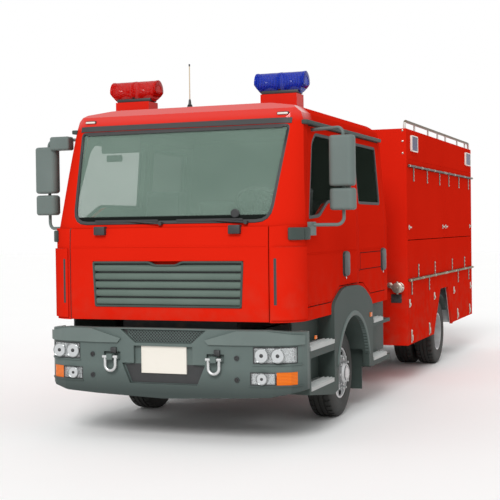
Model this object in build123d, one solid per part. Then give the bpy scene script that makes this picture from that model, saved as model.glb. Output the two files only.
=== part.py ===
from build123d import *
import os

# All sizes are in millimetres. A station is a distance rearwards from the bumper's face.
# X points to the vehicle's left, Z points up and is zero on the ground.

# Axles and wheels
FRONT_AXLE = 1650
WHEELBASE = 4200
TYRE_RADIUS = 398.5
TYRE_WIDTH = 235
BEAD_RADIUS = 222
FLANGE_RADIUS = 236
FLANGE_DEPTH = 12
RIM_WALL = 9
FRONT_TYRE_X = 905
OUTER_TYRE_X = 945
TWIN_GAP = 32
DISC_SETBACK = 22
REAR_DISH = 120
HUB_RADIUS = 92
HUB_OUT = 80
NUT_RING_RADIUS = 165
SEAT_GAP = 0.5
RUNNING_GAP = 0.3

# Steering
KINGPIN_X = 770
KINGPIN_RADIUS = 22
KNUCKLE_HEIGHT = 190
AXLE_EYE_RADIUS = 46
AXLE_EYE_HEIGHT = 110
SPINDLE_RADIUS = 38
STEERING_ARM = 180
ARM_THICK = 30
BALL_RADIUS = 10
TRACK_ROD_RADIUS = 18
TRACK_ROD_DROP = 62

# Frame and drive line
RAIL_X = 390
RAIL_WIDTH = 70
RAIL_HEIGHT = 210
RAIL_TOP = 820
RAIL_WALL = 8
RAIL_FRONT = 260
RAIL_REAR = 7650
BEAM_DEPTH = 70
BEAM_WIDTH = 80
SPRING_X = 470
SPRING_WIDTH = 75
SPRING_HALF = 700
SPRING_THICK = 60
SPRING_HANG = 70
AXLE_BEAM = 80
AXLE_TUBE = 62
ENGINE_HALF = 270
ENGINE_FRONT = 480
ENGINE_REAR = 1420
ENGINE_LOW = 540
ENGINE_TOP = 1010
GEARBOX_REAR = 2100
SHAFT_START_Z = 700
SHAFT_RADIUS = 48
TANK_FRONT = 3100
TANK_REAR = 3780
TANK_WIDTH = 470
TANK_LOW = 440
TANK_HEIGHT = 360
AIR_TANK_RADIUS = 95
SILENCER_RADIUS = 100

# Cab
CAB_HALF = 1120
CAB_ROOF_HALF = 1050
CAB_FRONT = 90
CAB_REAR = 3000
CAB_FLOOR = 980
CAB_WALL = 60
WAIST = 1750
SCREEN_FOOT = 139
SCREEN_HEAD = 459
SCREEN_HEAD_Z = 2620
SCREEN_FOOT_SIDE = 230
SCREEN_HEAD_SIDE = 158
SCREEN_DROP = 40
SCREEN_FOOT_CUT = 130
SCREEN_HEAD_CUT = 45
ROOF_TOP = 2795
CAB_CORNER = 250
DEFLECTOR = 16
DEFLECTOR_TOP = 1578
PANEL_GAP = 8
JAMB_STEP = 7
GLASS_SETBACK = 14
GLASS = 8
TUNNEL_HALF = 360
TUNNEL_REAR = 1500
TUNNEL_TOP = 1330
SEAT_HALF = 240
SEAT_SIDE = 255
BENCH_SIDE = 220
FRONT_SEAT = 900
BENCH = 2230
CUSHION_TOP = 1500
HEADREST_TOP = 2130
BENCH_HEAD = 2060
STEERING_WHEEL = 215

# Front flap and grille
FLAP_HALF = 886
FLAP_TOP = 1745
FLAP_BOTTOM = 985
FLAP_THICK = 35
FLAP_HINGE_X = 600
GRILLE_TOP_HALF = 677
GRILLE_BOTTOM_HALF = 658
GRILLE_TOP = 1470
GRILLE_BOTTOM = 1091
GRILLE_BORDER = 24
SLATS = 5

# Cab doors, as stations and heights
FRONT_DOOR = 345
FRONT_DOOR_END = 1862
REAR_DOOR = 1918
REAR_DOOR_END = 2905
DOOR_BOTTOM = 1090
DOOR_TOP = 2570
HINGE_INSET = 2
HINGE_STEP = 7
HINGE_PIN = 4
HINGE_EYE = 8
HINGE_REACH = 25

# Bumper
BUMPER_HALF = 1145
BUMPER_REAR = 322
BUMPER_TOP = 928
BUMPER_BOTTOM = 358
BUMPER_WALL = 70
LAMP_DEPTH = 45
LAMP_BACK = 168
HEAD_LAMP = ((772, 1150), (660, 792))
LOW_LAMP = ((748, 1150), (490, 592))
FOG_LAMP_END = 948
LUG_X = 460
SHACKLE_Z = 690
SHACKLE_FRONT = -58
SHACKLE_PIN = 14
LUG_HALF = 24
SHACKLE_ROD = 13
SHACKLE_BOW = 46
PLATE_HALF = 201
PLATE_LOW = 560
PLATE_HIGH = 782

# Fenders and steps
FENDER_REACH = 6
FENDER_SKIN = 62
FENDER_LOW = 385
ARCH_RADIUS = 520
ARCH_LINER = 14
FENDER_TOP = 1200
STEP_DEPTH = 150
TREAD_THICK = 34
UPPER_STEP = 736
LOWER_STEP = 410
STEP_END = 1010
CREW_STEP = 2330
CREW_STEP_END = 3010
CREW_UPPER = 798
CREW_LOWER = 436

# Locker body
BODY_HALF = 1140
BODY_FRONT = 3830
BODY_REAR = 7860
BODY_BOTTOM = 424
REAR_SKIRT_RISE = 44
BODY_TOP = 2790
BODY_WALL = 40
FLAP_WALL = 35
POST = 48
DECK_BOTTOM = 1060
DECK_TOP = 1140
UPPER_RAIL = 2387
LOWER_RAIL = 1133
SEAM = 1573
RAIL_ROD = 12
RAIL_OFFSET = 16
RAIL_STEP = 15
FRONT_FLAP_SHARE = 0.5162
ARCH_TOP = 948
SKIRT_FRONT_REACH = 495
SKIRT_REAR_REACH = 555
SKIRT_INNER = 640
REAR_DOOR_HALF = 640
REAR_RAIL = 2490
STRAP_WIDTH = 36
STRAP_LENGTH = 165
STRAP_THICK = 5.5

# Roof fittings
STROBE_DROP = 70
STROBE_HEIGHT = 160
STROBE_OUT = 18
BEACON_RADIUS = 92
BEACON_HALF = 222
BEACON_TAPER = 48
BEACON_FOOT = 105
PEDESTAL_HALF = 165
BEACON_X = 700
BEACON_STATION = 1010
PEDESTAL_RISE = 87
ANTENNA_X = -160
ANTENNA_STATION = 980
ANTENNA_TOP = 3196
ROOF_RAIL_RISE = 100
ROOF_RAIL_RADIUS = 16
LADDER_OUT = 110
LADDER_TUBE = 18
RUNGS = 6
FIRST_RUNG = 760
RUNG_PITCH = 320

# Mirrors
MIRROR_IN = 1262
MIRROR_WIDTH = 214
MIRROR_EDGE = 50
MIRROR_STATION = 490
MIRROR_DEPTH = 120
MIRROR_TUBE = 14

REAR_AXLE = FRONT_AXLE + WHEELBASE
MIDDLE = (SHACKLE_FRONT + BODY_REAR + LADDER_OUT) / 2
INNER_TYRE_X = OUTER_TYRE_X - TYRE_WIDTH - TWIN_GAP
SCREEN_SLOPE = (SCREEN_HEAD - SCREEN_FOOT) / (SCREEN_HEAD_Z - WAIST)
RIM_HALF = TYRE_WIDTH / 2 - FLANGE_DEPTH - 1
RIM_DISC = RIM_HALF - DISC_SETBACK
RAIL_OUT = RAIL_X + RAIL_WIDTH / 2
RAIL_LOW = RAIL_TOP - RAIL_HEIGHT
KNUCKLE_LOW = TYRE_RADIUS - KNUCKLE_HEIGHT / 2
DOOR_HINGE_X = CAB_HALF - HINGE_INSET
FLAP_AXIS = (CAB_FRONT + 5, FLAP_TOP - 10)
SIDE_RAIL_X = BODY_HALF + RAIL_OFFSET
FENDER_OUT = BODY_HALF + FENDER_REACH
SEAT_X = CAB_HALF - SEAT_SIDE - SEAT_HALF
BENCH_HALF = CAB_HALF - BENCH_SIDE
MIRROR_OUT = MIRROR_IN + MIRROR_WIDTH
PEDESTAL_TOP = ROOF_TOP + PEDESTAL_RISE
SPLIT_STATION = round(BODY_FRONT + FRONT_FLAP_SHARE * (BODY_REAR - BODY_FRONT))
SKIRT_FRONT_END = REAR_AXLE - SKIRT_FRONT_REACH
SKIRT_REAR_START = REAR_AXLE + SKIRT_REAR_REACH
LADDER_X = BODY_HALF - 260

# Strap hinges of the body's flaps, as shares of each flap's length
UPPER_STRAPS_FRONT = (0.142, 0.498, 0.857)
UPPER_STRAPS_REAR = (0.154, 0.523, 0.903)
LOWER_STRAPS = (0.1256, 0.3584, 0.6381, 0.8637)
SKIRT_STRAPS_FRONT = (0.101, 0.728)
SKIRT_STRAPS_REAR = (0.272, 0.842)


def block(x, y, z):
    """Box between the given limits along X, station and height."""
    box = Box(x[1] - x[0], y[1] - y[0], z[1] - z[0])
    return Pos((x[0] + x[1]) / 2, (y[0] + y[1]) / 2, (z[0] + z[1]) / 2) * box


def side_plate(outline, x):
    """Plate whose outline is given as stations and heights, between two X planes."""
    face = make_face(Polyline([(x[0], y, z) for y, z in outline], close=True))
    return extrude(face, amount=x[1] - x[0], dir=(1, 0, 0))


def front_plate(outline, y):
    """Plate whose outline is given as X and heights, between two stations."""
    face = make_face(Polyline([(px, y[0], z) for px, z in outline], close=True))
    return extrude(face, amount=y[1] - y[0], dir=(0, 1, 0))


def plan_plate(outline, z):
    """Plate whose outline is given as X and stations, between two heights."""
    face = make_face(Polyline([(px, py, z[0]) for px, py in outline], close=True))
    return extrude(face, amount=z[1] - z[0], dir=(0, 0, 1))


def grown(outline, amount, x):
    """Side plate of an outline pushed out, or drawn in, by the given amount."""
    face = make_face(Polyline([(x[0], y, z) for y, z in outline], close=True))
    face = offset(face, amount=amount, kind=Kind.INTERSECTION)
    return extrude(face, amount=x[1] - x[0], dir=(1, 0, 0))


def eased(outline, cuts, steps=4):
    """Outline whose corners give way to curves that start the given lengths before and after them."""
    points = []
    for index, (corner, cut) in enumerate(zip(outline, cuts)):
        if cut == 0:
            points.append(corner)
            continue
        corner = Vector(*corner)
        start, end = [corner + (Vector(*other) - corner).normalized() * cut
                      for other in (outline[index - 1], outline[(index + 1) % len(outline)])]
        for step in range(steps + 1):
            share = step / steps
            point = start * (1 - share) ** 2 + corner * 2 * share * (1 - share) + end * share ** 2
            points.append((point.X, point.Y))
    return points


def rod(start, end, radius):
    """Round bar between two points."""
    line = Vector(*end) - Vector(*start)
    bar = Cylinder(radius, line.length, align=(Align.CENTER, Align.CENTER, Align.MIN))
    return Plane(origin=start, z_dir=line) * bar


def across(radius, x, station, height):
    """Round bar along X."""
    return rod((x[0], station, height), (x[1], station, height), radius)


def along(radius, x, y, height):
    """Round bar along the stations."""
    return rod((x, y[0], height), (x, y[1], height), radius)


def upright(radius, x, station, z):
    """Round bar along Z."""
    return rod((x, station, z[0]), (x, station, z[1]), radius)


def tube(points, radius, bend):
    """Round bar that follows straight runs joined by arcs."""
    path = FilletPolyline(*points, radius=bend)
    section = Plane(origin=path @ 0, z_dir=path % 0) * Circle(radius)
    return sweep(section, path=path)


def turned(profile, x, station):
    """Ring turned about the wheel's axis from pairs of X offset and radius."""
    points = [(x + px, station, TYRE_RADIUS + r) for px, r in profile]
    face = make_face(Polyline(points, close=True))
    return revolve(face, axis=Axis((0, station, TYRE_RADIUS), (1, 0, 0)))


def joined(shapes):
    """One solid from several that meet."""
    solid = shapes[0]
    for shape in shapes[1:]:
        solid += shape
    return solid


def other_side(shape):
    return mirror(shape, about=Plane.YZ)


def both_sides(shapes):
    return list(shapes) + [other_side(shape) for shape in shapes]


# Wheels

def tyre(x, station):
    """Low truck tyre: bead, sidewall, shoulder and a flat tread."""
    half = TYRE_WIDTH / 2
    bead = BEAD_RADIUS + SEAT_GAP
    seat = RIM_HALF - RIM_WALL - SEAT_GAP
    # columns: offset from the middle, radius
    right = [(seat - 20, bead), (seat, bead), (seat, FLANGE_RADIUS + SEAT_GAP), (RIM_HALF, FLANGE_RADIUS + 4),
             (half, TYRE_RADIUS - 92), (half - 6, TYRE_RADIUS - 34), (half - 22, TYRE_RADIUS - 8),
             (half - 44, TYRE_RADIUS)]
    left = [(-px, r) for px, r in reversed(right)]
    return turned(right + left, x, station)


def rim_barrel(x, station):
    """The rim's flanges and the well between them."""
    well = BEAD_RADIUS - RIM_WALL
    flange = RIM_HALF - RIM_WALL
    profile = [(-RIM_HALF, FLANGE_RADIUS), (-flange, FLANGE_RADIUS), (-flange, BEAD_RADIUS),
               (flange, BEAD_RADIUS),
               (flange, FLANGE_RADIUS), (RIM_HALF, FLANGE_RADIUS), (RIM_HALF, well), (-RIM_HALF, well)]
    return turned(profile, x, station)


def front_rim():
    """Rim with its disc near the outer flange, a hub and a ring over the wheel nuts."""
    bore = SPINDLE_RADIUS + RUNNING_GAP
    well = BEAD_RADIUS - RIM_WALL
    end = RIM_DISC + HUB_OUT
    sections = [
        [(RIM_DISC - 14, bore), (RIM_DISC, bore), (RIM_DISC, well + 1), (RIM_DISC - 14, well + 1)],
        [(RIM_DISC - 60, bore), (end, bore), (end, HUB_RADIUS - 12), (end - 20, HUB_RADIUS),
         (RIM_DISC - 60, HUB_RADIUS)],
        [(RIM_DISC - 2, NUT_RING_RADIUS - 34), (RIM_DISC + 30, NUT_RING_RADIUS - 34),
         (RIM_DISC + 30, NUT_RING_RADIUS - 6), (RIM_DISC - 2, NUT_RING_RADIUS)],
        [(end - 6, 0), (end + 8, 0), (end + 8, HUB_RADIUS - 22), (end - 6, HUB_RADIUS - 22)],
    ]
    return joined([rim_barrel(FRONT_TYRE_X, FRONT_AXLE)]
                  + [turned(s, FRONT_TYRE_X, FRONT_AXLE) for s in sections])


def rear_rims():
    """Two dished rims back to back on one hub."""
    bore = SPINDLE_RADIUS + RUNNING_GAP
    well = BEAD_RADIUS - RIM_WALL
    middle = (OUTER_TYRE_X + INNER_TYRE_X) / 2
    apart = OUTER_TYRE_X - middle
    flange = RIM_HALF - RIM_WALL
    reach = REAR_DISH - 20
    sections = [
        [(-14, bore), (14, bore), (14, NUT_RING_RADIUS), (apart - flange, well + 1),
         (flange - apart, well + 1),
         (-14, NUT_RING_RADIUS)],
        [(-80, bore), (reach, bore), (reach, HUB_RADIUS - 14), (reach - 40, HUB_RADIUS), (-80, HUB_RADIUS)],
        [(reach - 4, 0), (reach + 10, 0), (reach + 10, HUB_RADIUS - 24), (reach - 4, HUB_RADIUS - 24)],
        [(RIM_HALF - apart - 2, well - 12), (apart - RIM_HALF + 2, well - 12),
         (apart - RIM_HALF + 2, well + 1),
         (RIM_HALF - apart - 2, well + 1)],
    ]
    barrels = [rim_barrel(x, REAR_AXLE) for x in (OUTER_TYRE_X, INNER_TYRE_X)]
    return joined(barrels + [turned(s, middle, REAR_AXLE) for s in sections])


def rear_tyres():
    return [tyre(OUTER_TYRE_X, REAR_AXLE), tyre(INNER_TYRE_X, REAR_AXLE)]


# Axles and steering

def knuckle():
    """Left steering knuckle: two lugs on the kingpin, the wheel spindle and the steering arm."""
    eye = AXLE_EYE_HEIGHT / 2 + RUNNING_GAP
    high = KNUCKLE_LOW + KNUCKLE_HEIGHT
    inner = KINGPIN_X + AXLE_EYE_RADIUS + 6
    outer = inner + 24
    pieces = [block((inner, outer), (FRONT_AXLE - 62, FRONT_AXLE + 62), (KNUCKLE_LOW, high))]
    for z in ((KNUCKLE_LOW, TYRE_RADIUS - eye), (TYRE_RADIUS + eye, high)):
        pieces.append(block((KINGPIN_X - 10, inner + 1), (FRONT_AXLE - 42, FRONT_AXLE + 42), z))
        pieces.append(upright(42, KINGPIN_X, FRONT_AXLE, z))
    pieces.append(upright(KINGPIN_RADIUS, KINGPIN_X, FRONT_AXLE, (KNUCKLE_LOW, high)))
    spindle_end = FRONT_TYRE_X + RIM_DISC + HUB_OUT / 2
    pieces.append(across(SPINDLE_RADIUS, (outer - 1, spindle_end), FRONT_AXLE, TYRE_RADIUS))
    pieces.append(across(150, (outer - 1, outer + 12), FRONT_AXLE, TYRE_RADIUS))
    ball = FRONT_AXLE + STEERING_ARM
    arm_z = (KNUCKLE_LOW, KNUCKLE_LOW + ARM_THICK)
    pieces.append(block((KINGPIN_X - 18, KINGPIN_X + 16), (FRONT_AXLE + 30, ball), arm_z))
    pieces.append(upright(22, KINGPIN_X, ball, arm_z))
    pieces.append(upright(BALL_RADIUS, KINGPIN_X, ball, (KNUCKLE_LOW - TRACK_ROD_DROP, KNUCKLE_LOW + 1)))
    return joined(pieces)


def track_rod():
    """Rod between the two steering arms, with an eye round each arm's pin."""
    z = KNUCKLE_LOW - TRACK_ROD_DROP / 2
    ball = FRONT_AXLE + STEERING_ARM
    solid = across(TRACK_ROD_RADIUS, (20 - KINGPIN_X, KINGPIN_X - 20), ball, z)
    for x in (-KINGPIN_X, KINGPIN_X):
        solid += upright(22, x, ball, (z - 22, z + 22))
    for x, gap in ((KINGPIN_X, RUNNING_GAP), (-KINGPIN_X, 2)):
        solid -= upright(BALL_RADIUS + gap, x, ball, (z - 30, z + 30))
    return solid


def front_axle():
    """Dropped beam with an eye for each kingpin."""
    top = TYRE_RADIUS - 50
    end = KINGPIN_X - 30
    right = [(540, top), (620, TYRE_RADIUS + 30), (end, TYRE_RADIUS + 40), (end, TYRE_RADIUS - 40),
             (640, TYRE_RADIUS - 50), (520, top - AXLE_BEAM)]
    outline = right + [(-x, z) for x, z in reversed(right)]
    solid = front_plate(outline, (FRONT_AXLE - AXLE_BEAM / 2, FRONT_AXLE + AXLE_BEAM / 2))
    eye = (TYRE_RADIUS - AXLE_EYE_HEIGHT / 2, TYRE_RADIUS + AXLE_EYE_HEIGHT / 2)
    for x in (-KINGPIN_X, KINGPIN_X):
        solid += upright(AXLE_EYE_RADIUS, x, FRONT_AXLE, eye)
        solid -= upright(KINGPIN_RADIUS + RUNNING_GAP, x, FRONT_AXLE, eye)
    return solid


def rear_axle():
    """Banjo axle: tubes, the round differential housing and the wheel spindles."""
    tube_end = INNER_TYRE_X - TYRE_WIDTH / 2 - 8
    spindle_end = OUTER_TYRE_X - 60
    return joined([across(AXLE_TUBE, (-tube_end, tube_end), REAR_AXLE, TYRE_RADIUS),
                   across(190, (-70, 70), REAR_AXLE, TYRE_RADIUS),
                   along(95, 0, (REAR_AXLE - 300, REAR_AXLE), TYRE_RADIUS),
                   across(SPINDLE_RADIUS, (-spindle_end, spindle_end), REAR_AXLE, TYRE_RADIUS)])


def springs():
    """Leaf packs on the axles, with their eyes in hangers on the frame."""
    packs = []
    x = (SPRING_X - SPRING_WIDTH / 2, SPRING_X + SPRING_WIDTH / 2)
    # columns: axle station, height of the pack's underside at the axle
    for axle, seat in ((FRONT_AXLE, TYRE_RADIUS - 50), (REAR_AXLE, TYRE_RADIUS + AXLE_TUBE)):
        eye = RAIL_LOW - SPRING_HANG
        mid = (eye + seat) / 2
        outline = [(-SPRING_HALF, eye), (-SPRING_HALF / 2, mid - 6), (-90, seat), (90, seat),
                   (SPRING_HALF / 2, mid - 6), (SPRING_HALF, eye), (SPRING_HALF, eye + 18),
                   (SPRING_HALF / 2, mid + 30), (90, seat + SPRING_THICK), (-90, seat + SPRING_THICK),
                   (-SPRING_HALF / 2, mid + 30), (-SPRING_HALF, eye + 18)]
        pack = side_plate([(axle + y, z) for y, z in outline], x)
        for y in (axle - SPRING_HALF, axle + SPRING_HALF):
            pack += across(26, (RAIL_OUT, x[1]), y, eye + 8)
            pack += side_plate([(y - 26, eye + 8), (y + 26, eye + 8), (y + 40, RAIL_TOP - 60),
                                (y - 40, RAIL_TOP - 60)],
                               (RAIL_OUT, x[0] + 14))
        packs.append(pack)
    return both_sides(packs)


# Frame

def chassis_rails():
    """Two channel rails, open towards the middle."""
    rail = block((RAIL_OUT - RAIL_WIDTH, RAIL_OUT), (RAIL_FRONT, RAIL_REAR), (RAIL_LOW, RAIL_TOP))
    rail -= block((RAIL_OUT - RAIL_WIDTH - 1, RAIL_OUT - RAIL_WALL), (RAIL_FRONT - 1, RAIL_REAR + 1),
                  (RAIL_LOW + RAIL_WALL, RAIL_TOP - RAIL_WALL))
    return both_sides([rail])


def cross_members():
    """Beams between the rails, the bumper beam, the cab mounts, the body's bearers and rear beam."""
    inner = RAIL_OUT - RAIL_WALL
    top = RAIL_TOP - RAIL_WALL
    beams = []
    for y in (RAIL_FRONT + BEAM_WIDTH / 2, 2700, 4300, 5300, 6400, 7400):
        beams.append(block((-inner, inner), (y - BEAM_WIDTH / 2, y + BEAM_WIDTH / 2),
                           (top - BEAM_DEPTH, top)))
    # columns: half width, first station, last station, low, high
    for half, first, last, low, high in ((600, BUMPER_WALL, RAIL_FRONT, 560, 760),
                                         (SKIRT_INNER - 5, RAIL_REAR, RAIL_REAR + 60, 470, 760),
                                         (520, 330, 420, RAIL_TOP, CAB_FLOOR),
                                         (520, 2750, 2850, RAIL_TOP, CAB_FLOOR)):
        beams.append(block((-half, half), (first, last), (low, high)))
    bearer = block((RAIL_X - 20, RAIL_X + 30), (BODY_FRONT + BODY_WALL, RAIL_REAR - 60),
                   (RAIL_TOP, DECK_BOTTOM))
    return beams + both_sides([bearer])


def drive_line():
    """Engine and gearbox as plain blocks on their mounts, and the propeller shaft to the rear axle."""
    engine = block((-ENGINE_HALF, ENGINE_HALF), (ENGINE_FRONT, ENGINE_REAR), (ENGINE_LOW, ENGINE_TOP))
    gearbox = block((-190, 190), (ENGINE_REAR - 1, GEARBOX_REAR), (560, 880))
    mount_end = RAIL_OUT - RAIL_WALL
    mounts = [block((-mount_end, mount_end), (y - 45, y + 45), (RAIL_LOW + RAIL_WALL, RAIL_LOW + 60))
              for y in (900, 1900)]
    nose = REAR_AXLE - 300
    shaft = rod((0, GEARBOX_REAR - 1, SHAFT_START_Z), (0, nose - 30, TYRE_RADIUS), SHAFT_RADIUS)
    shaft += along(SHAFT_RADIUS + 12, 0, (nose - 42, nose), TYRE_RADIUS)
    return joined([engine, gearbox, shaft] + mounts)


def tanks():
    """Fuel tank and silencer on the right, battery box and air tank on the left."""
    fuel = block((-RAIL_OUT - TANK_WIDTH, -RAIL_OUT), (TANK_FRONT, TANK_REAR),
                 (TANK_LOW, TANK_LOW + TANK_HEIGHT))
    fuel = fillet(fuel.edges().filter_by(Axis.Y), 50)
    battery = block((RAIL_OUT, RAIL_OUT + TANK_WIDTH - 50), (TANK_FRONT, TANK_REAR - 220),
                    (TANK_LOW + 30, TANK_LOW + 340))
    air = along(AIR_TANK_RADIUS, RAIL_OUT + AIR_TANK_RADIUS + SEAT_GAP, (3700, 4950), RAIL_LOW + 80)
    silencer = along(SILENCER_RADIUS, -RAIL_OUT - SILENCER_RADIUS - SEAT_GAP, (3850, 4950), RAIL_LOW + 80)
    return [fuel, battery, air, silencer]


# Cab

def cab_side_outline():
    return [(CAB_FRONT, CAB_FLOOR), (CAB_FRONT, DEFLECTOR_TOP), (CAB_FRONT + 10, WAIST - 8),
            (SCREEN_FOOT, WAIST), (SCREEN_HEAD, SCREEN_HEAD_Z), (SCREEN_HEAD + 60, ROOF_TOP - 80),
            (SCREEN_HEAD + 170, ROOF_TOP - 18),
            (SCREEN_HEAD + 330, ROOF_TOP), (CAB_REAR - 260, ROOF_TOP - 30), (CAB_REAR - 60, ROOF_TOP - 70),
            (CAB_REAR, ROOF_TOP - 140), (CAB_REAR, CAB_FLOOR)]


def cab_front_outline():
    right = [(CAB_HALF, CAB_FLOOR), (CAB_HALF, WAIST), (CAB_ROOF_HALF, ROOF_TOP - 195),
             (CAB_ROOF_HALF - 22, ROOF_TOP - 115), (CAB_ROOF_HALF - 90, ROOF_TOP - 55),
             (CAB_ROOF_HALF - 300, ROOF_TOP - 22), (260, ROOF_TOP)]
    return right + [(-x, z) for x, z in reversed(right)]


def cab_volume(inset):
    """The cab's outer form, or the same form drawn in by a wall's thickness."""
    side = make_face(Polyline([(0, y, z) for y, z in cab_side_outline()], close=True))
    front = make_face(Polyline([(x, 0, z) for x, z in cab_front_outline()], close=True))
    if inset:
        side = offset(side, amount=-inset, kind=Kind.INTERSECTION)
        front = offset(front, amount=-inset, kind=Kind.INTERSECTION)
    length = CAB_REAR + 600
    plan = Rectangle(2 * (CAB_HALF - inset), length)
    plan = fillet(plan.vertices().sort_by(Axis.Y)[:2], CAB_CORNER - inset)
    plan = Pos(0, CAB_FRONT + inset + length / 2, 0) * plan
    lower = extrude(plan, amount=WAIST)
    leaning = Pos(0, SCREEN_FOOT - CAB_FRONT, WAIST) * plan
    upper = extrude(leaning, amount=ROOF_TOP + 200 - WAIST, dir=(0, SCREEN_SLOPE, 1))
    wide = extrude(side, amount=CAB_HALF + 200, both=True)
    long = extrude(front, amount=CAB_REAR + 200, dir=(0, 1, 0))
    return (lower + upper) & long & wide


def door_outline(front):
    """Outer edge of the front or the rear door, as stations and heights."""
    step = FENDER_TOP + 14
    if front:
        head = FRONT_DOOR + (DOOR_TOP - WAIST) * SCREEN_SLOPE
        return [(FRONT_DOOR, DOOR_BOTTOM), (1010, DOOR_BOTTOM), (1270, step), (FRONT_DOOR_END, step),
                (FRONT_DOOR_END, DOOR_TOP), (head, DOOR_TOP), (FRONT_DOOR, WAIST)]
    return [(REAR_DOOR, step), (2060, step - 10), (2330, DOOR_BOTTOM), (REAR_DOOR_END, DOOR_BOTTOM),
            (REAR_DOOR_END, DOOR_TOP), (REAR_DOOR, DOOR_TOP)]


def window_outline(front):
    if front:
        rear = FRONT_DOOR_END - 66
        pane = [(430, 1795), (742, 1812), (1019, 1936), (rear, 1936), (rear, 2524), (810, 2524), (690, 2440)]
        return eased(pane, (40, 60, 60, 45, 45, 45, 45))
    front, rear = REAR_DOOR + 66, REAR_DOOR_END - 110
    return eased([(front, 1940), (rear, 1940), (rear, 2520), (front, 2520)], (45, 55, 45, 45))


def flap_outline(gap):
    half = FLAP_HALF + gap
    return [(-half, FLAP_BOTTOM - 2 * gap), (half, FLAP_BOTTOM - 2 * gap), (half, FLAP_TOP + gap),
            (-half, FLAP_TOP + gap)]


def grille_outline(gap):
    low, high = GRILLE_BOTTOM_HALF + gap, GRILLE_TOP_HALF + gap
    return [(-low, GRILLE_BOTTOM - gap), (low, GRILLE_BOTTOM - gap), (high, GRILLE_TOP + gap),
            (-high, GRILLE_TOP + gap)]


def screen_outline(gap):
    foot, head = CAB_HALF - SCREEN_FOOT_SIDE + gap, CAB_HALF - SCREEN_HEAD_SIDE + gap
    low, high = WAIST + 22 - gap, SCREEN_HEAD_Z - SCREEN_DROP + gap
    outline = [(-foot, low), (foot, low), (head, high), (-head, high)]
    return eased(outline, (SCREEN_FOOT_CUT, SCREEN_FOOT_CUT, SCREEN_HEAD_CUT, SCREEN_HEAD_CUT))


def door_hinge_places(front):
    """Station of the hinge axis and the heights of its two hinges."""
    station = (FRONT_DOOR if front else REAR_DOOR) + HINGE_STEP
    return station, ((1300, 1680) if front else (1320, 1700))


def door_hinge(front):
    """Lugs with upright pins that stand on the pillar in front of a door."""
    station, heights = door_hinge_places(front)
    lugs = []
    for z in heights:
        lug = block((DOOR_HINGE_X - HINGE_EYE, DOOR_HINGE_X + 1), (station - 30, station), (z, z + 6))
        lug += upright(HINGE_EYE, DOOR_HINGE_X, station, (z, z + 6))
        lug += upright(HINGE_PIN, DOOR_HINGE_X, station, (z - 17, z + 23))
        lugs.append(lug)
    return lugs


def door(skin, front):
    """One left door: a piece of the cab's skin with its window and its hinge slots cut."""
    side = (700, CAB_HALF + 60)
    solid = skin & side_plate(door_outline(front), side)
    solid -= side_plate(window_outline(front), side)
    station, heights = door_hinge_places(front)
    for z in heights:
        solid -= upright(HINGE_REACH, DOOR_HINGE_X, station, (z - 5, z + 11))
        solid -= upright(HINGE_PIN + RUNNING_GAP, DOOR_HINGE_X, station, (z - 24, z + 30))
    handle = (1405, 1555) if front else (REAR_DOOR_END - 150, REAR_DOOR_END - 15)
    return solid + block((CAB_HALF - 6, CAB_HALF + 18), handle, (1306, 1494))


def deflectors(outer):
    """Corner panels that stand proud of the cab's corners."""
    proud = cab_volume(-DEFLECTOR) - outer
    left = proud & block((FLAP_HALF + 24, CAB_HALF + 40), (CAB_FRONT - 40, FRONT_DOOR - 22),
                         (CAB_FLOOR + 20, DEFLECTOR_TOP))
    return both_sides([left])


def cab_pieces():
    """The cab shell, windscreen, front flap, and the left doors with their panes."""
    outer = cab_volume(0)
    skin = outer - cab_volume(CAB_WALL)
    pane_skin = cab_volume(GLASS_SETBACK) - cab_volume(GLASS_SETBACK + GLASS)
    side = (700, CAB_HALF + 60)
    doors = {}
    shell = skin
    for name, front in (("front", True), ("rear", False)):
        pane = pane_skin & grown(window_outline(front), -SEAT_GAP, side)
        doors[name] = (door(skin, front), pane)
        # The jamb steps back on its inner side, where the thick edge of the door swings.
        opening = grown(door_outline(front), PANEL_GAP, side)
        opening += grown(door_outline(front), PANEL_GAP + JAMB_STEP, (side[0], CAB_HALF - CAB_WALL - 10))
        shell -= opening
        shell -= other_side(opening)
    shell -= front_plate(screen_outline(0), (0, 640))
    recess = CAB_FRONT + FLAP_THICK + 10
    shell -= front_plate(flap_outline(PANEL_GAP), (0, recess))
    fender_gap = grown(fender_outline(), 3, (FENDER_OUT - FENDER_SKIN - 3, FENDER_OUT + 10))
    shell -= fender_gap
    shell -= other_side(fender_gap)
    shell += block((-TUNNEL_HALF, TUNNEL_HALF), (recess + 1, TUNNEL_REAR), (CAB_FLOOR, TUNNEL_TOP))
    shell -= block((40 - TUNNEL_HALF, TUNNEL_HALF - 40), (CAB_FRONT + CAB_WALL, TUNNEL_REAR - 40),
                   (CAB_FLOOR - 1, TUNNEL_TOP - 40))
    for piece in deflectors(outer) + both_sides(door_hinge(True) + door_hinge(False)) + flap_lugs(recess):
        shell += piece
    screen = pane_skin & front_plate(screen_outline(-SEAT_GAP), (0, 640))
    return shell, screen, front_flap(outer), doors


def flap_lugs(recess):
    """Lugs with pins on which the front flap hangs."""
    y, z = FLAP_AXIS
    lugs = []
    for x in (-FLAP_HINGE_X, FLAP_HINGE_X):
        lug = block((x - 3, x + 3), (y, recess + 1), (z - HINGE_EYE, z + HINGE_EYE))
        lug += across(HINGE_EYE, (x - 3, x + 3), y, z) + across(HINGE_PIN, (x - 20, x + 20), y, z)
        lugs.append(lug)
    return lugs


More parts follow.
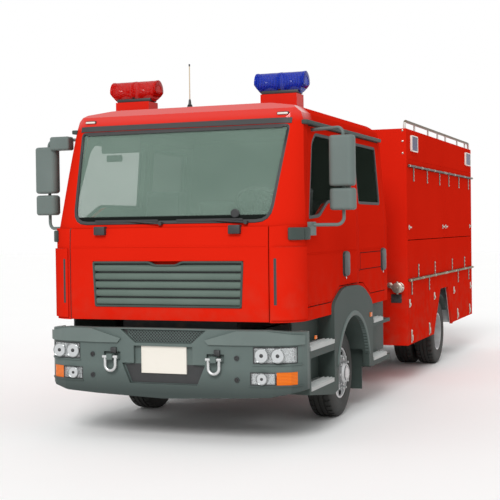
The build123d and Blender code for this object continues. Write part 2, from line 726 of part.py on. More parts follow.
def front_flap(outer):
    """Service flap of the cab's front with its grille opening and the two hinge covers."""
    y, z = FLAP_AXIS
    solid = outer & front_plate(flap_outline(0), (0, CAB_FRONT + FLAP_THICK))
    solid -= front_plate(grille_outline(0), (0, CAB_FRONT + FLAP_THICK + 1))
    for x in (-FLAP_HINGE_X, FLAP_HINGE_X):
        solid += block((x - 47, x + 47), (CAB_FRONT - 24, CAB_FRONT + 16), (FLAP_TOP - 55, FLAP_TOP + 5))
        solid -= block((x - 9, x + 9), (CAB_FRONT - 8, CAB_FRONT + FLAP_THICK + 1),
                       (z - HINGE_REACH, FLAP_TOP + 6))
        solid -= across(HINGE_PIN + RUNNING_GAP, (x - 26, x + 26), y, z)
    return solid


def grille():
    """Frame with horizontal slats in front of a back plate."""
    face = CAB_FRONT + FLAP_THICK
    solid = front_plate(grille_outline(-SEAT_GAP), (CAB_FRONT - 6, face))
    half = GRILLE_BOTTOM_HALF - GRILLE_BORDER
    low, high = GRILLE_BOTTOM + GRILLE_BORDER, GRILLE_TOP - GRILLE_BORDER
    solid -= block((-half, half), (CAB_FRONT - 7, CAB_FRONT + 20), (low, high))
    pitch = (high - low) / SLATS
    for count in range(SLATS):
        z = low + pitch * count
        solid += side_plate([(CAB_FRONT + 21, z + 10), (CAB_FRONT - 4, z + 16),
                             (CAB_FRONT + 6, z + pitch - 8),
                             (CAB_FRONT + 21, z + pitch - 8)], (-half - 1, half + 1))
    return solid


def dashboard():
    """Dashboard with the steering column and wheel."""
    half = CAB_HALF - CAB_WALL - 20
    front = CAB_FRONT + CAB_WALL
    board = side_plate([(front, TUNNEL_TOP + 10), (front, 1690), (260, 1735), (470, 1700), (520, 1560),
                        (430, TUNNEL_TOP + 10)], (-half, half))
    x, lean_y, lean_z = SEAT_X, 0.62, 0.78
    column = rod((x, 440, 1620), (x, 440 + 400 * lean_y, 1620 + 400 * lean_z), 32)
    wheel = Plane((x, 440 + 390 * lean_y, 1620 + 390 * lean_z), z_dir=(0, lean_y, lean_z))
    board &= cab_volume(CAB_WALL)
    return board + column + wheel * Torus(STEERING_WHEEL, 15) + wheel * Box(2 * STEERING_WHEEL - 5, 44, 14)


def seat(x, station, floor, top, head):
    """Seat cushion on a base, with its leaning back rest."""
    return side_plate([(station + 30, floor), (station, top - 130), (station, top), (station + 440, top - 10),
                       (station + 540, head), (station + 640, head), (station + 560, top - 100),
                       (station + 470, floor)], x)


def seats():
    """Two front seats and the crew's bench."""
    floor = CAB_FLOOR + CAB_WALL
    front = seat((SEAT_X - SEAT_HALF, SEAT_X + SEAT_HALF), FRONT_SEAT, floor, CUSHION_TOP, HEADREST_TOP)
    return both_sides([front]) + [seat((-BENCH_HALF, BENCH_HALF), BENCH, floor, CUSHION_TOP, BENCH_HEAD)]


def wipers():
    """Two wiper arms with their blades on the foot of the windscreen."""
    z = WAIST + 26
    cab = cab_volume(0)
    parts = []
    for x in (-60, 690):
        glass = SCREEN_FOOT + (z + 24 - WAIST) * SCREEN_SLOPE + GLASS_SETBACK
        arm = rod((x, SCREEN_FOOT - 20, z), (x - 330, glass - 12, z + 26), 8)
        arm += rod((x, SCREEN_FOOT - 34, z), (x, SCREEN_FOOT + 20, z), 14) - cab
        arm += block((x - 620, x - 40), (glass - 20, glass - 6), (z + 14, z + 36))
        parts.append(arm)
    return parts


def roof_fittings():
    """Red pedestals with clear brackets for the roof lamps, and the whip antenna."""
    low = ROOF_TOP - 90
    parts = []
    roof = cab_volume(0)
    for x in (-BEACON_X, BEACON_X):
        base = block((x - PEDESTAL_HALF, x + PEDESTAL_HALF), (BEACON_STATION - 95, BEACON_STATION + 95),
                     (low, PEDESTAL_TOP)) - roof
        for foot in (x - BEACON_FOOT, x + BEACON_FOOT):
            base += block((foot - 20, foot + 20), (BEACON_STATION - 50, BEACON_STATION + 50),
                          (PEDESTAL_TOP - 1, PEDESTAL_TOP + 14))
        base -= across(BEACON_RADIUS + SEAT_GAP, (x - BEACON_HALF, x + BEACON_HALF), BEACON_STATION,
                       PEDESTAL_TOP + 8 + BEACON_RADIUS)
        parts.append(base)
    mast = upright(22, ANTENNA_X, ANTENNA_STATION, (ROOF_TOP - 4, ROOF_TOP + 40))
    mast += upright(5, ANTENNA_X, ANTENNA_STATION, (ROOF_TOP + 39, ANTENNA_TOP))
    return parts + [mast - roof]


def beacon(x):
    """Capsule lens that lies across the roof."""
    middle = PEDESTAL_TOP + 8 + BEACON_RADIUS
    lens = across(BEACON_RADIUS, (x - BEACON_HALF, x + BEACON_HALF), BEACON_STATION, middle)
    for way in (-1, 1):
        end, low = x + way * BEACON_HALF, middle - BEACON_RADIUS - 5
        lens -= front_plate([(end, middle - 12), (end + way * 10, middle - 12), (end + way * 10, low),
                             (end - way * BEACON_TAPER, low)], (BEACON_STATION - 100, BEACON_STATION + 100))
    return lens


# Bumper, fenders and steps

def bumper_plan(inset):
    """Half of the bumper's plan and its mirror image, drawn in by the wall."""
    rear = BUMPER_REAR + 1 if inset > 10 else BUMPER_REAR
    right = [(0, inset), (600, inset), (930, 48 + inset), (1060 - inset * 0.5, 112 + inset * 0.9),
             (BUMPER_HALF - 22 - inset, 200 + inset * 0.3), (BUMPER_HALF - inset, 262 + inset * 0.2),
             (BUMPER_HALF - inset, rear)]
    return right + [(-x, y) for x, y in reversed(right[1:])]


def lamp_body(x, z, gap):
    """Body of a lamp that follows the left corner of the bumper, drawn in by a gap; none gives its pocket."""
    reach = block((x[0] + gap, x[1] - gap), (-1, LAMP_BACK - gap), (z[0] + gap, z[1] - gap))
    low, high = z[0] - 10, z[1] + 10
    if gap:
        reach &= plan_plate(bumper_plan(4), (low, high))
    return reach - plan_plate(bumper_plan(LAMP_DEPTH - gap), (low, high))


def bumper():
    """Plastic bumper: a thick bent shell with a cooling slot, a plate recess and lamp pockets."""
    solid = plan_plate(bumper_plan(0), (BUMPER_BOTTOM - 10, BUMPER_TOP + 10))
    solid -= plan_plate(bumper_plan(BUMPER_WALL), (BUMPER_BOTTOM - 20, BUMPER_TOP + 20))
    edge = BUMPER_HALF + 5
    half_face = [(0, BUMPER_BOTTOM), (900, BUMPER_BOTTOM + 34), (edge, BUMPER_BOTTOM + 82),
                 (edge, BUMPER_TOP - 28),
                 (900, BUMPER_TOP - 3), (0, BUMPER_TOP)]
    solid &= front_plate(half_face + [(-x, z) for x, z in reversed(half_face[1:-1])], (-20, BUMPER_REAR + 20))
    solid -= front_plate([(-250, 806), (250, 806), (380, 916), (-380, 916)], (-1, 26))
    low, high = PLATE_LOW, PLATE_HIGH
    solid -= front_plate([(-300, low - 85), (300, low - 85), (372, low + 80), (262, low + 80), (262, high),
                          (-262, high),
                          (-262, low + 80), (-372, low + 80)], (-1, 34))
    for pocket in both_sides([lamp_body(*HEAD_LAMP, 0), lamp_body(*LOW_LAMP, 0)]):
        solid -= pocket
    y = SHACKLE_FRONT + LUG_HALF
    lug = block((-26, 26), (SHACKLE_FRONT, BUMPER_WALL), (SHACKLE_Z - LUG_HALF, SHACKLE_Z + LUG_HALF))
    lug -= across(SHACKLE_PIN + RUNNING_GAP, (-27, 27), y, SHACKLE_Z)
    for x in (-LUG_X, LUG_X):
        solid -= block((x - 75, x + 75), (-1, 30), (SHACKLE_Z - 30, SHACKLE_Z + 40))
        solid += Pos(x, 0, 0) * lug
    return solid


def clear_lamps():
    """Head lamps and fog lamps that fill the bumper's pockets."""
    fog = LOW_LAMP[0][0], FOG_LAMP_END
    return both_sides([lamp_body(*HEAD_LAMP, SEAT_GAP), lamp_body(fog, LOW_LAMP[1], SEAT_GAP)])


def amber_lamps():
    """Direction lamps beside the fog lamps, and a marker behind each front wheel."""
    turn = lamp_body((FOG_LAMP_END + 6, LOW_LAMP[0][1]), LOW_LAMP[1], SEAT_GAP)
    marker = block((FENDER_OUT, FENDER_OUT + 10), (2195, 2255), (870, 910))
    return both_sides([turn, marker])


def number_plate():
    return block((-PLATE_HALF, PLATE_HALF), (20, 34), (PLATE_LOW, PLATE_HIGH))


def tow_shackles():
    """Bow shackles that hang from the bumper's two towing lugs."""
    y, z = SHACKLE_FRONT + LUG_HALF, SHACKLE_Z
    drop = z - 68
    bow = Pos(0, y, drop) * Rot(90, 0, 0) * Torus(SHACKLE_BOW, SHACKLE_ROD)
    bow &= block((-80, 80), (y - 30, y + 30), (drop - 110, drop))
    pieces = [across(SHACKLE_PIN, (-SHACKLE_BOW - 22, SHACKLE_BOW + 22), y, z), bow]
    pieces += [upright(SHACKLE_ROD, x, y, (drop, z + 8)) for x in (-SHACKLE_BOW, SHACKLE_BOW)]
    solid = joined(pieces)
    return [Pos(x, 0, 0) * solid for x in (-LUG_X, LUG_X)]


def fender_outline():
    """Outer edge of the wheel arch's cheek, as stations and heights."""
    outline = [(STEP_END + 12, UPPER_STEP - 60), (STEP_END + 12, 1070), (1253, 1177), (1416, FENDER_TOP),
               (1842, FENDER_TOP - 6), (2066, 1143), (2296, 1020), (2339, 906), (2275, FENDER_LOW + 15),
               (1700, FENDER_LOW + 15)]
    return eased(outline, (0, 50, 75, 75, 100, 100, 55, 60, 0, 0), 3)


def fender():
    """Left front fender: entry steps, wheel arch with its cheek and liner, and the crew step."""
    out, low = FENDER_OUT, FENDER_LOW
    under_cab = CAB_FLOOR - SEAT_GAP
    cheek = side_plate(fender_outline(), (out - FENDER_SKIN, out))
    steps = side_plate([(BUMPER_REAR, low), (1000, low - 88), (1140, low - 60), (1140, UPPER_STEP),
                        (BUMPER_REAR, UPPER_STEP)],
                       (out - 330, out - 1))
    riser = block((out - STEP_DEPTH - 20, out - STEP_DEPTH), (BUMPER_REAR, STEP_END + 40),
                  (UPPER_STEP - 1, under_cab))
    end = block((out - STEP_DEPTH - 20, out - 1), (STEP_END + 12, STEP_END + 60), (UPPER_STEP - 1, under_cab))
    crew = block((out - 300, out - 6), (2230, CREW_STEP_END), (low, under_cab))
    solid = joined([cheek, steps, riser, end, crew])
    well = (out - STEP_DEPTH, out + 1)
    solid -= block(well, (BUMPER_REAR + 30, STEP_END + 12), (LOWER_STEP, UPPER_STEP - 60))
    solid -= block(well, (CREW_STEP, CREW_STEP_END + 1), (CREW_LOWER, CREW_UPPER - TREAD_THICK))
    solid -= block(well, (CREW_STEP + 15, CREW_STEP_END + 1), (CREW_UPPER, CAB_FLOOR))
    centre = TYRE_RADIUS + 6
    solid -= across(ARCH_RADIUS, (600, out + 10), FRONT_AXLE, centre)
    solid -= block((600, out + 10), (FRONT_AXLE - ARCH_RADIUS + 30, FRONT_AXLE + ARCH_RADIUS - 34), (0, 500))
    liner = across(ARCH_RADIUS + ARCH_LINER, (760, out - 1), FRONT_AXLE, centre)
    liner -= across(ARCH_RADIUS, (700, out + 10), FRONT_AXLE, centre)
    liner &= block((700, out), (0, 3000), (560, under_cab))
    return solid + liner


def fenders_and_guards():
    """Fenders, with the mud flaps and the rear wheels' mudguards."""
    flap = block((850, 1050), (2236, 2246), (170, 560))
    reach = (REAR_AXLE - 500, REAR_AXLE + 500)
    guard_x = (INNER_TYRE_X - 110, BODY_HALF - 52)
    guard = across(456, guard_x, REAR_AXLE, TYRE_RADIUS) - across(450, (500, 1200), REAR_AXLE, TYRE_RADIUS)
    guard &= block((500, 1200), reach, (640, 900))
    stay = block((RAIL_OUT, guard_x[0] + 30), (REAR_AXLE - 20, REAR_AXLE + 20),
                 (TYRE_RADIUS + 450 - 60, TYRE_RADIUS + 451))
    stay -= across(450, (500, 1200), REAR_AXLE, TYRE_RADIUS)
    return both_sides([fender() + flap, guard + stay])


def step_treads():
    """Bright serrated treads: two under the front door and two under the rear door."""
    out = FENDER_OUT + 4
    treads = []
    # columns: first station, last station, underside
    for first, last, z in ((350, STEP_END, UPPER_STEP), (360, STEP_END - 20, LOWER_STEP),
                           (CREW_STEP + 15, 2700, CREW_UPPER), (CREW_STEP + 5, 2840, CREW_LOWER)):
        treads.append(block((out - STEP_DEPTH, out), (first, last), (z, z + TREAD_THICK)))
    return both_sides(treads)


# Locker body

def strap(station, rail_z, direction):
    """Strap hinge: an eye round the side rail and a plate down or up the flap's face."""
    y = (station - STRAP_WIDTH / 2, station + STRAP_WIDTH / 2)
    x = BODY_HALF + 0.5
    ends = sorted((rail_z, rail_z + direction * STRAP_LENGTH))
    return block((x, x + STRAP_THICK), y, ends) + along(RAIL_OFFSET - 0.5, SIDE_RAIL_X, y, rail_z)


def side_flap(outline, shares, rail_z, direction):
    """Flap of the left side, and the strap hinges that are screwed on it and turn on the rail."""
    first, last = min(y for y, z in outline), max(y for y, z in outline)
    bore = along(RAIL_ROD + RUNNING_GAP, SIDE_RAIL_X, (first - 10, last + 10), rail_z)
    straps = [strap(first + share * (last - first), rail_z, direction) - bore for share in shares]
    return [side_plate(outline, (BODY_HALF - FLAP_WALL, BODY_HALF))] + straps


def side_flaps():
    """The five flaps of the left side."""
    first, last = BODY_FRONT + POST + 4, BODY_REAR - POST - 4
    gap = PANEL_GAP / 2
    low = BODY_BOTTOM
    arch_low = arch_corners()[0][0]
    upper = (SEAM + gap, UPPER_RAIL - RAIL_STEP)
    lower = (LOWER_RAIL + RAIL_STEP, SEAM - gap)
    skirt_top = LOWER_RAIL - RAIL_STEP

    def box(y0, y1, z):
        return [(y0, z[0]), (y1, z[0]), (y1, z[1]), (y0, z[1])]

    front_skirt = [(first, low), (arch_low - gap, low), (SKIRT_FRONT_END - gap, low + 181),
                   (SKIRT_FRONT_END - gap, skirt_top),
                   (first, skirt_top)]
    rear_skirt = box(SKIRT_REAR_START + gap, last, (low + REAR_SKIRT_RISE, skirt_top))
    return {
        "upper_flap_front": side_flap(box(first, SPLIT_STATION - gap, upper), UPPER_STRAPS_FRONT,
                                      UPPER_RAIL, -1),
        "upper_flap_rear": side_flap(box(SPLIT_STATION + gap, last, upper), UPPER_STRAPS_REAR, UPPER_RAIL,
                                     -1),
        "lower_flap": side_flap(box(first, last, lower), LOWER_STRAPS, LOWER_RAIL, 1),
        "skirt_flap_front": side_flap(front_skirt, SKIRT_STRAPS_FRONT, LOWER_RAIL, -1),
        "skirt_flap_rear": side_flap(rear_skirt, SKIRT_STRAPS_REAR, LOWER_RAIL, -1),
    }


def hinge_rails():
    """Round hinge rails on standoffs: along both sides, and across the back above the rear door."""
    first, last = BODY_FRONT + POST + 4, BODY_REAR - POST - 4
    rails = []
    # columns: first station, last station, height, inner end of the standoffs, their low and high edges
    for y0, y1, z, inner, low, high in ((first, SPLIT_STATION - 20, UPPER_RAIL, BODY_HALF, -7, 8),
                                        (SPLIT_STATION + 20, last, UPPER_RAIL, BODY_HALF, -7, 8),
                                        (first, last, LOWER_RAIL, BODY_HALF - BODY_WALL, -8, 7)):
        rail = along(RAIL_ROD, SIDE_RAIL_X, (y0, y1), z)
        for y in (y0 + 40, (y0 + y1) / 2 - 60, y1 - 40):
            rail += block((inner, SIDE_RAIL_X), (y - 15, y + 15), (z + low, z + high))
        rails.append(rail)
    half = REAR_DOOR_HALF - PANEL_GAP
    rear = across(RAIL_ROD, (-half, half), BODY_REAR + RAIL_OFFSET, REAR_RAIL)
    for x in (-half + 40, half - 40):
        rear += block((x - 15, x + 15), (BODY_REAR, BODY_REAR + RAIL_OFFSET), (REAR_RAIL - 7, REAR_RAIL + 8))
    return both_sides(rails) + [rear]


def arch_corners():
    """Rear arch in the skirt: front and rear edge, each as its low and its high corner's station."""
    return (REAR_AXLE - 631, REAR_AXLE - 219), (REAR_AXLE + 251, REAR_AXLE + 505)


def body_shell():
    """Hollow body: front and rear walls, roof, deck, headers, posts and the skirt lockers."""
    half, inner = BODY_HALF, BODY_HALF - BODY_WALL
    first, last = BODY_FRONT, BODY_REAR
    solid = block((-half, half), (first, last), (DECK_BOTTOM, BODY_TOP))
    solid -= block((-inner, inner), (first + BODY_WALL, last - BODY_WALL), (DECK_TOP, BODY_TOP - BODY_WALL))
    solid -= block((-REAR_DOOR_HALF, REAR_DOOR_HALF), (last - BODY_WALL - 1, last + 1),
                   (DECK_TOP, REAR_RAIL - 7))
    side = (inner, half + 1)
    post = POST / 2
    (front_low, front_high), (rear_high, rear_low) = arch_corners()
    cuts = [block((inner - 1, half + 1), (first + POST - 4, SPLIT_STATION - post),
                  (DECK_TOP, UPPER_RAIL - 7)),
            block((inner - 1, half + 1), (SPLIT_STATION + post, last - POST + 4), (DECK_TOP, UPPER_RAIL - 7)),
            block((half - FLAP_WALL - 6, half + 1), (SPLIT_STATION - post - 1, SPLIT_STATION + post + 1),
                  (DECK_TOP, UPPER_RAIL - 7)),
            block(side, (first + POST - 4, last - POST + 4), (DECK_BOTTOM - 1, DECK_TOP + 1))]
    for cut in cuts:
        solid -= cut
        solid -= other_side(cut)
    top = LOWER_RAIL - RAIL_STEP
    panel = side_plate([(SKIRT_FRONT_END + 4, top), (SKIRT_FRONT_END + 4, BODY_BOTTOM + 190),
                        (front_high, ARCH_TOP),
                        (rear_high, ARCH_TOP), (rear_low, BODY_BOTTOM + 30), (SKIRT_REAR_START - 4,
                                                                              BODY_BOTTOM + 30),
                        (SKIRT_REAR_START - 4, top)], (half - FLAP_WALL, half))
    panel += block((inner - POST, half - FLAP_WALL - 6), (SPLIT_STATION - post, SPLIT_STATION + post),
                   (DECK_TOP - 1, UPPER_RAIL))
    panel += block((inner - 1, half - 1), (SKIRT_FRONT_END + 20, SKIRT_REAR_START - 20), (DECK_BOTTOM, top))
    left = joined([panel, skirt_box(first, front_low, True), skirt_box(SKIRT_REAR_START, last, False)])
    return solid + left + other_side(left)


def skirt_box(first, last, front):
    """Locker below the deck, open on its outer side where the skirt flap closes it."""
    low = BODY_BOTTOM if front else BODY_BOTTOM + REAR_SKIRT_RISE
    inner = BODY_HALF - BODY_WALL
    box = block((SKIRT_INNER, BODY_HALF), (first, last), (low, DECK_BOTTOM + 1))
    box -= block((SKIRT_INNER + BODY_WALL, BODY_HALF), (first + BODY_WALL, last - BODY_WALL),
                 (low + BODY_WALL, DECK_BOTTOM - 10))
    ends = (first + POST - 4, last + 1) if front else (first - 1, last - POST + 4)
    return box - block((inner, BODY_HALF + 1), ends, (low - 1, DECK_BOTTOM + 2))


def rear_door():
    """Rear door, hinged on the rail above it."""
    half = REAR_DOOR_HALF - PANEL_GAP
    solid = block((-half, half), (BODY_REAR - FLAP_WALL, BODY_REAR),
                  (DECK_TOP + PANEL_GAP, REAR_RAIL - RAIL_STEP))
    for x in (-400, 0, 400):
        low, high = x - STRAP_WIDTH / 2, x + STRAP_WIDTH / 2
        solid += block((low, high), (BODY_REAR - 1, BODY_REAR + 6),
                       (REAR_RAIL - STRAP_LENGTH, REAR_RAIL - RAIL_STEP - 2))
        solid += block((low, high), (BODY_REAR + 0.5, BODY_REAR + 6), (REAR_RAIL - STRAP_LENGTH, REAR_RAIL))
        solid += across(RAIL_OFFSET - 0.5, (low, high), BODY_REAR + RAIL_OFFSET, REAR_RAIL)
    return solid - across(RAIL_ROD + RUNNING_GAP, (-half - 9, half + 9), BODY_REAR + RAIL_OFFSET, REAR_RAIL)


def roof_rail():
    """Rails along the body's roof on short posts."""
    z = BODY_TOP + ROOF_RAIL_RISE - ROOF_RAIL_RADIUS
    x = BODY_HALF - 26
    first, last = BODY_FRONT + 40, BODY_REAR - 60
    rail = tube([(x, first, BODY_TOP), (x, first, z), (x, last, z), (x, last, BODY_TOP)], ROOF_RAIL_RADIUS,
                60)
    for share in (0.1237, 0.3104, 0.4529, 0.5802, 0.7837, 0.9288):
        rail += upright(11, x, first + share * (last - first), (BODY_TOP, z))
    return both_sides([rail])


def ladder():
    """Ladder of bent tubes with six rungs, left of the rear door."""
    middle = LADDER_X
    back = BODY_REAR + LADDER_OUT - LADDER_TUBE
    pieces = []
    for side_x in (middle - 180, middle + 180):
        pieces.append(tube([(side_x, BODY_REAR, 600), (side_x, back, 600), (side_x, back, BODY_TOP - 60),
                            (side_x, BODY_REAR, BODY_TOP - 60)], LADDER_TUBE, 50))
    for count in range(RUNGS):
        pieces.append(across(14, (middle - 180, middle + 180), back, FIRST_RUNG + RUNG_PITCH * count))
    return joined(pieces)


def strobes():
    """Blue lamps near the top corners of the body's sides."""
    lamps = []
    high = BODY_TOP - STROBE_DROP
    for first, last in ((BODY_FRONT + 204, BODY_FRONT + 486), (BODY_REAR - 485, BODY_REAR - 138)):
        lamps.append(block((BODY_HALF, BODY_HALF + STROBE_OUT), (first, last), (high - STROBE_HEIGHT, high)))
    return both_sides(lamps)


def tail_lamps():
    """Upright rear lamps on the body's rear corners."""
    x = (BODY_HALF - 60, BODY_HALF - 10)
    return [block(x, (BODY_REAR, BODY_REAR + 30), (700, 1000)),
            block((-x[1], -x[0]), (BODY_REAR, BODY_REAR + 30), (700, 1000))]


def housing(x, station, z):
    """Mirror housing with well rounded upright edges."""
    solid = block(x, station, z)
    solid = fillet(solid.edges().filter_by(Axis.Z), MIRROR_EDGE)
    return fillet(solid.faces().sort_by(Axis.Z)[0].edges() + solid.faces().sort_by(Axis.Z)[-1].edges(), 24)


def door_mirror(kerb):
    """Main and lower mirror on a bent tube from the left door, with a kerb mirror where wanted."""
    y0, y1 = MIRROR_STATION, MIRROR_STATION + MIRROR_DEPTH
    mid_x = (MIRROR_IN + MIRROR_OUT) / 2
    mid_y = y1 - 30
    top_z, foot_z = 2542, 1750
    door_x = CAB_HALF - (CAB_HALF - CAB_ROOF_HALF) * (top_z - WAIST) / (ROOF_TOP - 195 - WAIST)
    head = 730
    pipe = tube([(door_x - 20, head, top_z), (mid_x, mid_y, top_z), (mid_x, mid_y, foot_z),
                 (CAB_HALF - 20, FRONT_DOOR + 120, foot_z)], MIRROR_TUBE, 60)
    main_mirror = housing((MIRROR_IN, MIRROR_OUT), (y0, y1), (2062, 2474))
    low_mirror = housing((MIRROR_IN, MIRROR_OUT + 4), (y0 + 10, y1), (1868, 2046))
    pieces = [pipe, main_mirror, low_mirror]
    pieces.append(block((CAB_HALF - 10, CAB_HALF + 26), (FRONT_DOOR + 40, FRONT_DOOR + 190), (1665, 1775)))
    if kerb:
        pieces.append(fillet(block((CAB_ROOF_HALF + 60, MIRROR_IN + 40), (y0 - 20, y1 - 30),
                                   (2440, 2560)).edges(), 20))
    return joined(pieces) - cab_volume(0)


def write(name, shapes):
    """Write one node, moved so that the middle of the length is at zero."""
    moved = [Pos(0, -MIDDLE, 0) * shape for shape in (shapes if isinstance(shapes, list) else [shapes])]
    export_step(moved[0] if len(moved) == 1 else Compound(children=moved),
                os.path.join("parts", name + ".step"))


def main():
    os.makedirs("parts", exist_ok=True)
    shell, screen, flap, doors = cab_pieces()
    nodes = {
        "chassis_rails": chassis_rails(), "cross_members": cross_members(), "springs": springs(),
        "front_axle": front_axle(), "rear_axle": rear_axle(), "drive_line": drive_line(), "tanks": tanks(),
        "track_rod": track_rod(), "cab_shell": shell, "windscreen": screen, "dashboard": dashboard(),
        "seats": seats(), "front_flap": flap, "grille": grille(), "wipers": wipers(),
        "roof_fittings": roof_fittings(), "lamps_red": [beacon(-BEACON_X)] + tail_lamps(),
        "lamps_blue": [beacon(BEACON_X)] + strobes(), "bumper": bumper(), "lamps_clear": clear_lamps(),
        "lamps_amber": amber_lamps(), "number_plate": number_plate(), "tow_shackles": tow_shackles(),
        "fenders_and_guards": fenders_and_guards(), "step_treads": step_treads(), "body_shell": body_shell(),
        "hinge_rails": hinge_rails(), "roof_rail": roof_rail(), "ladder": ladder(),
        "rear_door": rear_door(),
    }
    paired = {"knuckle": knuckle(), "tyre_front": tyre(FRONT_TYRE_X, FRONT_AXLE), "rim_front": front_rim(),
              "tyres_rear": rear_tyres(), "rims_rear": rear_rims(), "mirror": door_mirror(False)}
    for name, (panel, pane) in doors.items():
        paired["door_" + name] = panel
        paired["glass_" + name] = pane
    paired.update(side_flaps())
    for name, shape in paired.items():
        nodes[name + "_left"] = shape
        right = [other_side(piece) for piece in shape] if isinstance(shape, list) else other_side(shape)
        nodes[name + "_right"] = right
    nodes["mirror_right"] = other_side(door_mirror(True))
    for name, shape in nodes.items():
        write(name, shape)
    print(len(nodes), "nodes")


if __name__ == "__main__":
    main()
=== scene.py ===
import math
from contextlib import contextmanager

import bmesh
import bpy
from mathutils import Matrix, Vector


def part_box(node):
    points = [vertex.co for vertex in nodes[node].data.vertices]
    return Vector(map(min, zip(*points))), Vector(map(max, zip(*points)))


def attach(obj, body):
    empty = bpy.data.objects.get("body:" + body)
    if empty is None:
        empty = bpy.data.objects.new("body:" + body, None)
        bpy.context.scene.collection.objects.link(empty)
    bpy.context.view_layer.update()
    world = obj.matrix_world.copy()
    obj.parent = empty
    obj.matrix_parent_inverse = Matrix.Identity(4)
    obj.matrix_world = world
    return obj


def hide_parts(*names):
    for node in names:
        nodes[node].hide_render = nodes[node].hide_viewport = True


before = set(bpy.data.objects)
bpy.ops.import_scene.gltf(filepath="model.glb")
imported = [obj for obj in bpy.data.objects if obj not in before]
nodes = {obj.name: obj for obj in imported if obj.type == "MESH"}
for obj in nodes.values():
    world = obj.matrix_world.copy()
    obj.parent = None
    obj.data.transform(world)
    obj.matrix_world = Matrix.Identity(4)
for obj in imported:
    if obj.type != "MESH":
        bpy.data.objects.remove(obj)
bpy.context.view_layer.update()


# Camera
# A long lens at chest height, ahead of the truck and to its left, turned a little and dipped slightly.
# Lengths along the truck are counted rearwards from the bumper's face. The tow lugs stand ahead of it.
LUG_REACH = 0.058
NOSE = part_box("bumper")[0].y + LUG_REACH


def at(x, station, height):
    return Vector((x, NOSE + station, height))


TURN, DIP, TILT = math.radians(20.8511), math.radians(1.1505), math.radians(-0.7513)
FOCAL_PIXELS, FRAME_PIXELS, SENSOR = 1135.83, 500, 36.0

eye = at(3.9393, -8.3243, 1.7380)
ahead = Vector((-math.sin(TURN) * math.cos(DIP), math.cos(TURN) * math.cos(DIP), -math.sin(DIP)))
level = ahead.cross(Vector((0, 0, 1))).normalized()
plumb = level.cross(ahead)
rightwards = level * math.cos(TILT) + plumb * math.sin(TILT)
upwards = plumb * math.cos(TILT) - level * math.sin(TILT)

camera = bpy.data.objects.new("camera", bpy.data.cameras.new("camera"))
camera.data.sensor_width = SENSOR
camera.data.lens = FOCAL_PIXELS * SENSOR / FRAME_PIXELS
camera.data.clip_end = 300
camera.matrix_world = Matrix.Translation(eye) @ Matrix((rightwards, upwards, -ahead)).transposed().to_4x4()
bpy.context.scene.collection.objects.link(camera)
bpy.context.scene.camera = camera
bpy.context.scene.view_settings.view_transform = "Standard"


# Studio
# A pale floor under a soft overcast sky, with one broad lamp high ahead of the truck.
# A finish is a material in the making. A wrapped socket takes part in sums, which add their Math nodes.
class Socket:
    def __init__(self, finish, output):
        self.finish = finish
        self.output = output

    def math(self, operation, *others, clamp=False):
        settings = {"operation": operation, "use_clamp": clamp}
        return self.finish.node("ShaderNodeMath", settings, dict(enumerate((self,) + others)))

    def __add__(self, other):
        return self.math("ADD", other)

    def __sub__(self, other):
        return self.math("SUBTRACT", other)

    def __rsub__(self, other):
        return self.math("MULTIPLY_ADD", -1, other)

    def __mul__(self, other):
        return self.math("MULTIPLY", other)

    def __gt__(self, other):
        return self.math("GREATER_THAN", other)

    def above(self, low, high):
        """0 below low, 1 above high and a ramp between."""
        return ((self - low) * (1 / (high - low))).math("ADD", 0, clamp=True)


class Finish:
    def __init__(self, name, color, roughness, **sockets):
        self.material = bpy.data.materials.new(name)
        self.material.use_nodes = True
        self.tree = self.material.node_tree
        self.shader = self.tree.nodes["Principled BSDF"]
        self.place = self.node("ShaderNodeTexCoord", output="Object")
        self.set("Base Color", (*color, 1))
        self.set("Roughness", roughness)
        for socket, value in sockets.items():
            self.set(socket.replace("_", " ").title(), value)

    def feed(self, slot, value):
        if isinstance(value, Socket):
            self.tree.links.new(value.output, slot)
        else:
            slot.default_value = value

    def set(self, name, value):
        self.feed(self.shader.inputs["Specular IOR Level" if name == "Specular" else name], value)

    def fed(self, name):
        """What feeds one of the shader's sockets so far."""
        return Socket(self, self.shader.inputs[name].links[0].from_socket)

    def node(self, kind, settings=None, sockets=None, output=0):
        node = self.tree.nodes.new(kind)
        for name, value in (settings or {}).items():
            setattr(node, name, value)
        for name, value in (sockets or {}).items():
            self.feed(node.inputs[name], value)
        return Socket(self, node.outputs[output])

    def moved(self, scale=(1, 1, 1)):
        return self.node("ShaderNodeMapping", None, {"Vector": self.place, "Scale": scale})

    def noise(self, scale, detail=3.0, stretch=(1, 1, 1)):
        sockets = {"Vector": self.moved(stretch), "Scale": scale, "Detail": detail, "Roughness": 0.55}
        return self.node("ShaderNodeTexNoise", None, sockets)

    def wave(self, direction, scale):
        sockets = {"Vector": self.moved(), "Scale": scale}
        return self.node("ShaderNodeTexWave", {"bands_direction": direction}, sockets)

    def axis(self, name):
        return self.node("ShaderNodeSeparateXYZ", None, {0: self.place}, output=name)

    def blend(self, share, color_a, color_b):
        sides = {0: share, 6: color_a if isinstance(color_a, Socket) else (*color_a, 1),
                 7: color_b if isinstance(color_b, Socket) else (*color_b, 1)}
        return self.node("ShaderNodeMix", {"data_type": "RGBA"}, sides, output=2)

    def tint(self, share, color):
        """Another colour on a share of the surface."""
        self.set("Base Color", self.blend(share, self.fed("Base Color"), color))

    def bump(self, height, depth):
        sockets = {"Height": height, "Distance": depth, "Strength": 1.0}
        self.set("Normal", self.node("ShaderNodeBump", None, sockets))


def dress(finish, *pieces):
    """Give pieces one finish in place of what they wear."""
    for piece in pieces:
        piece.data.materials.clear()
        piece.data.materials.append(finish.material)


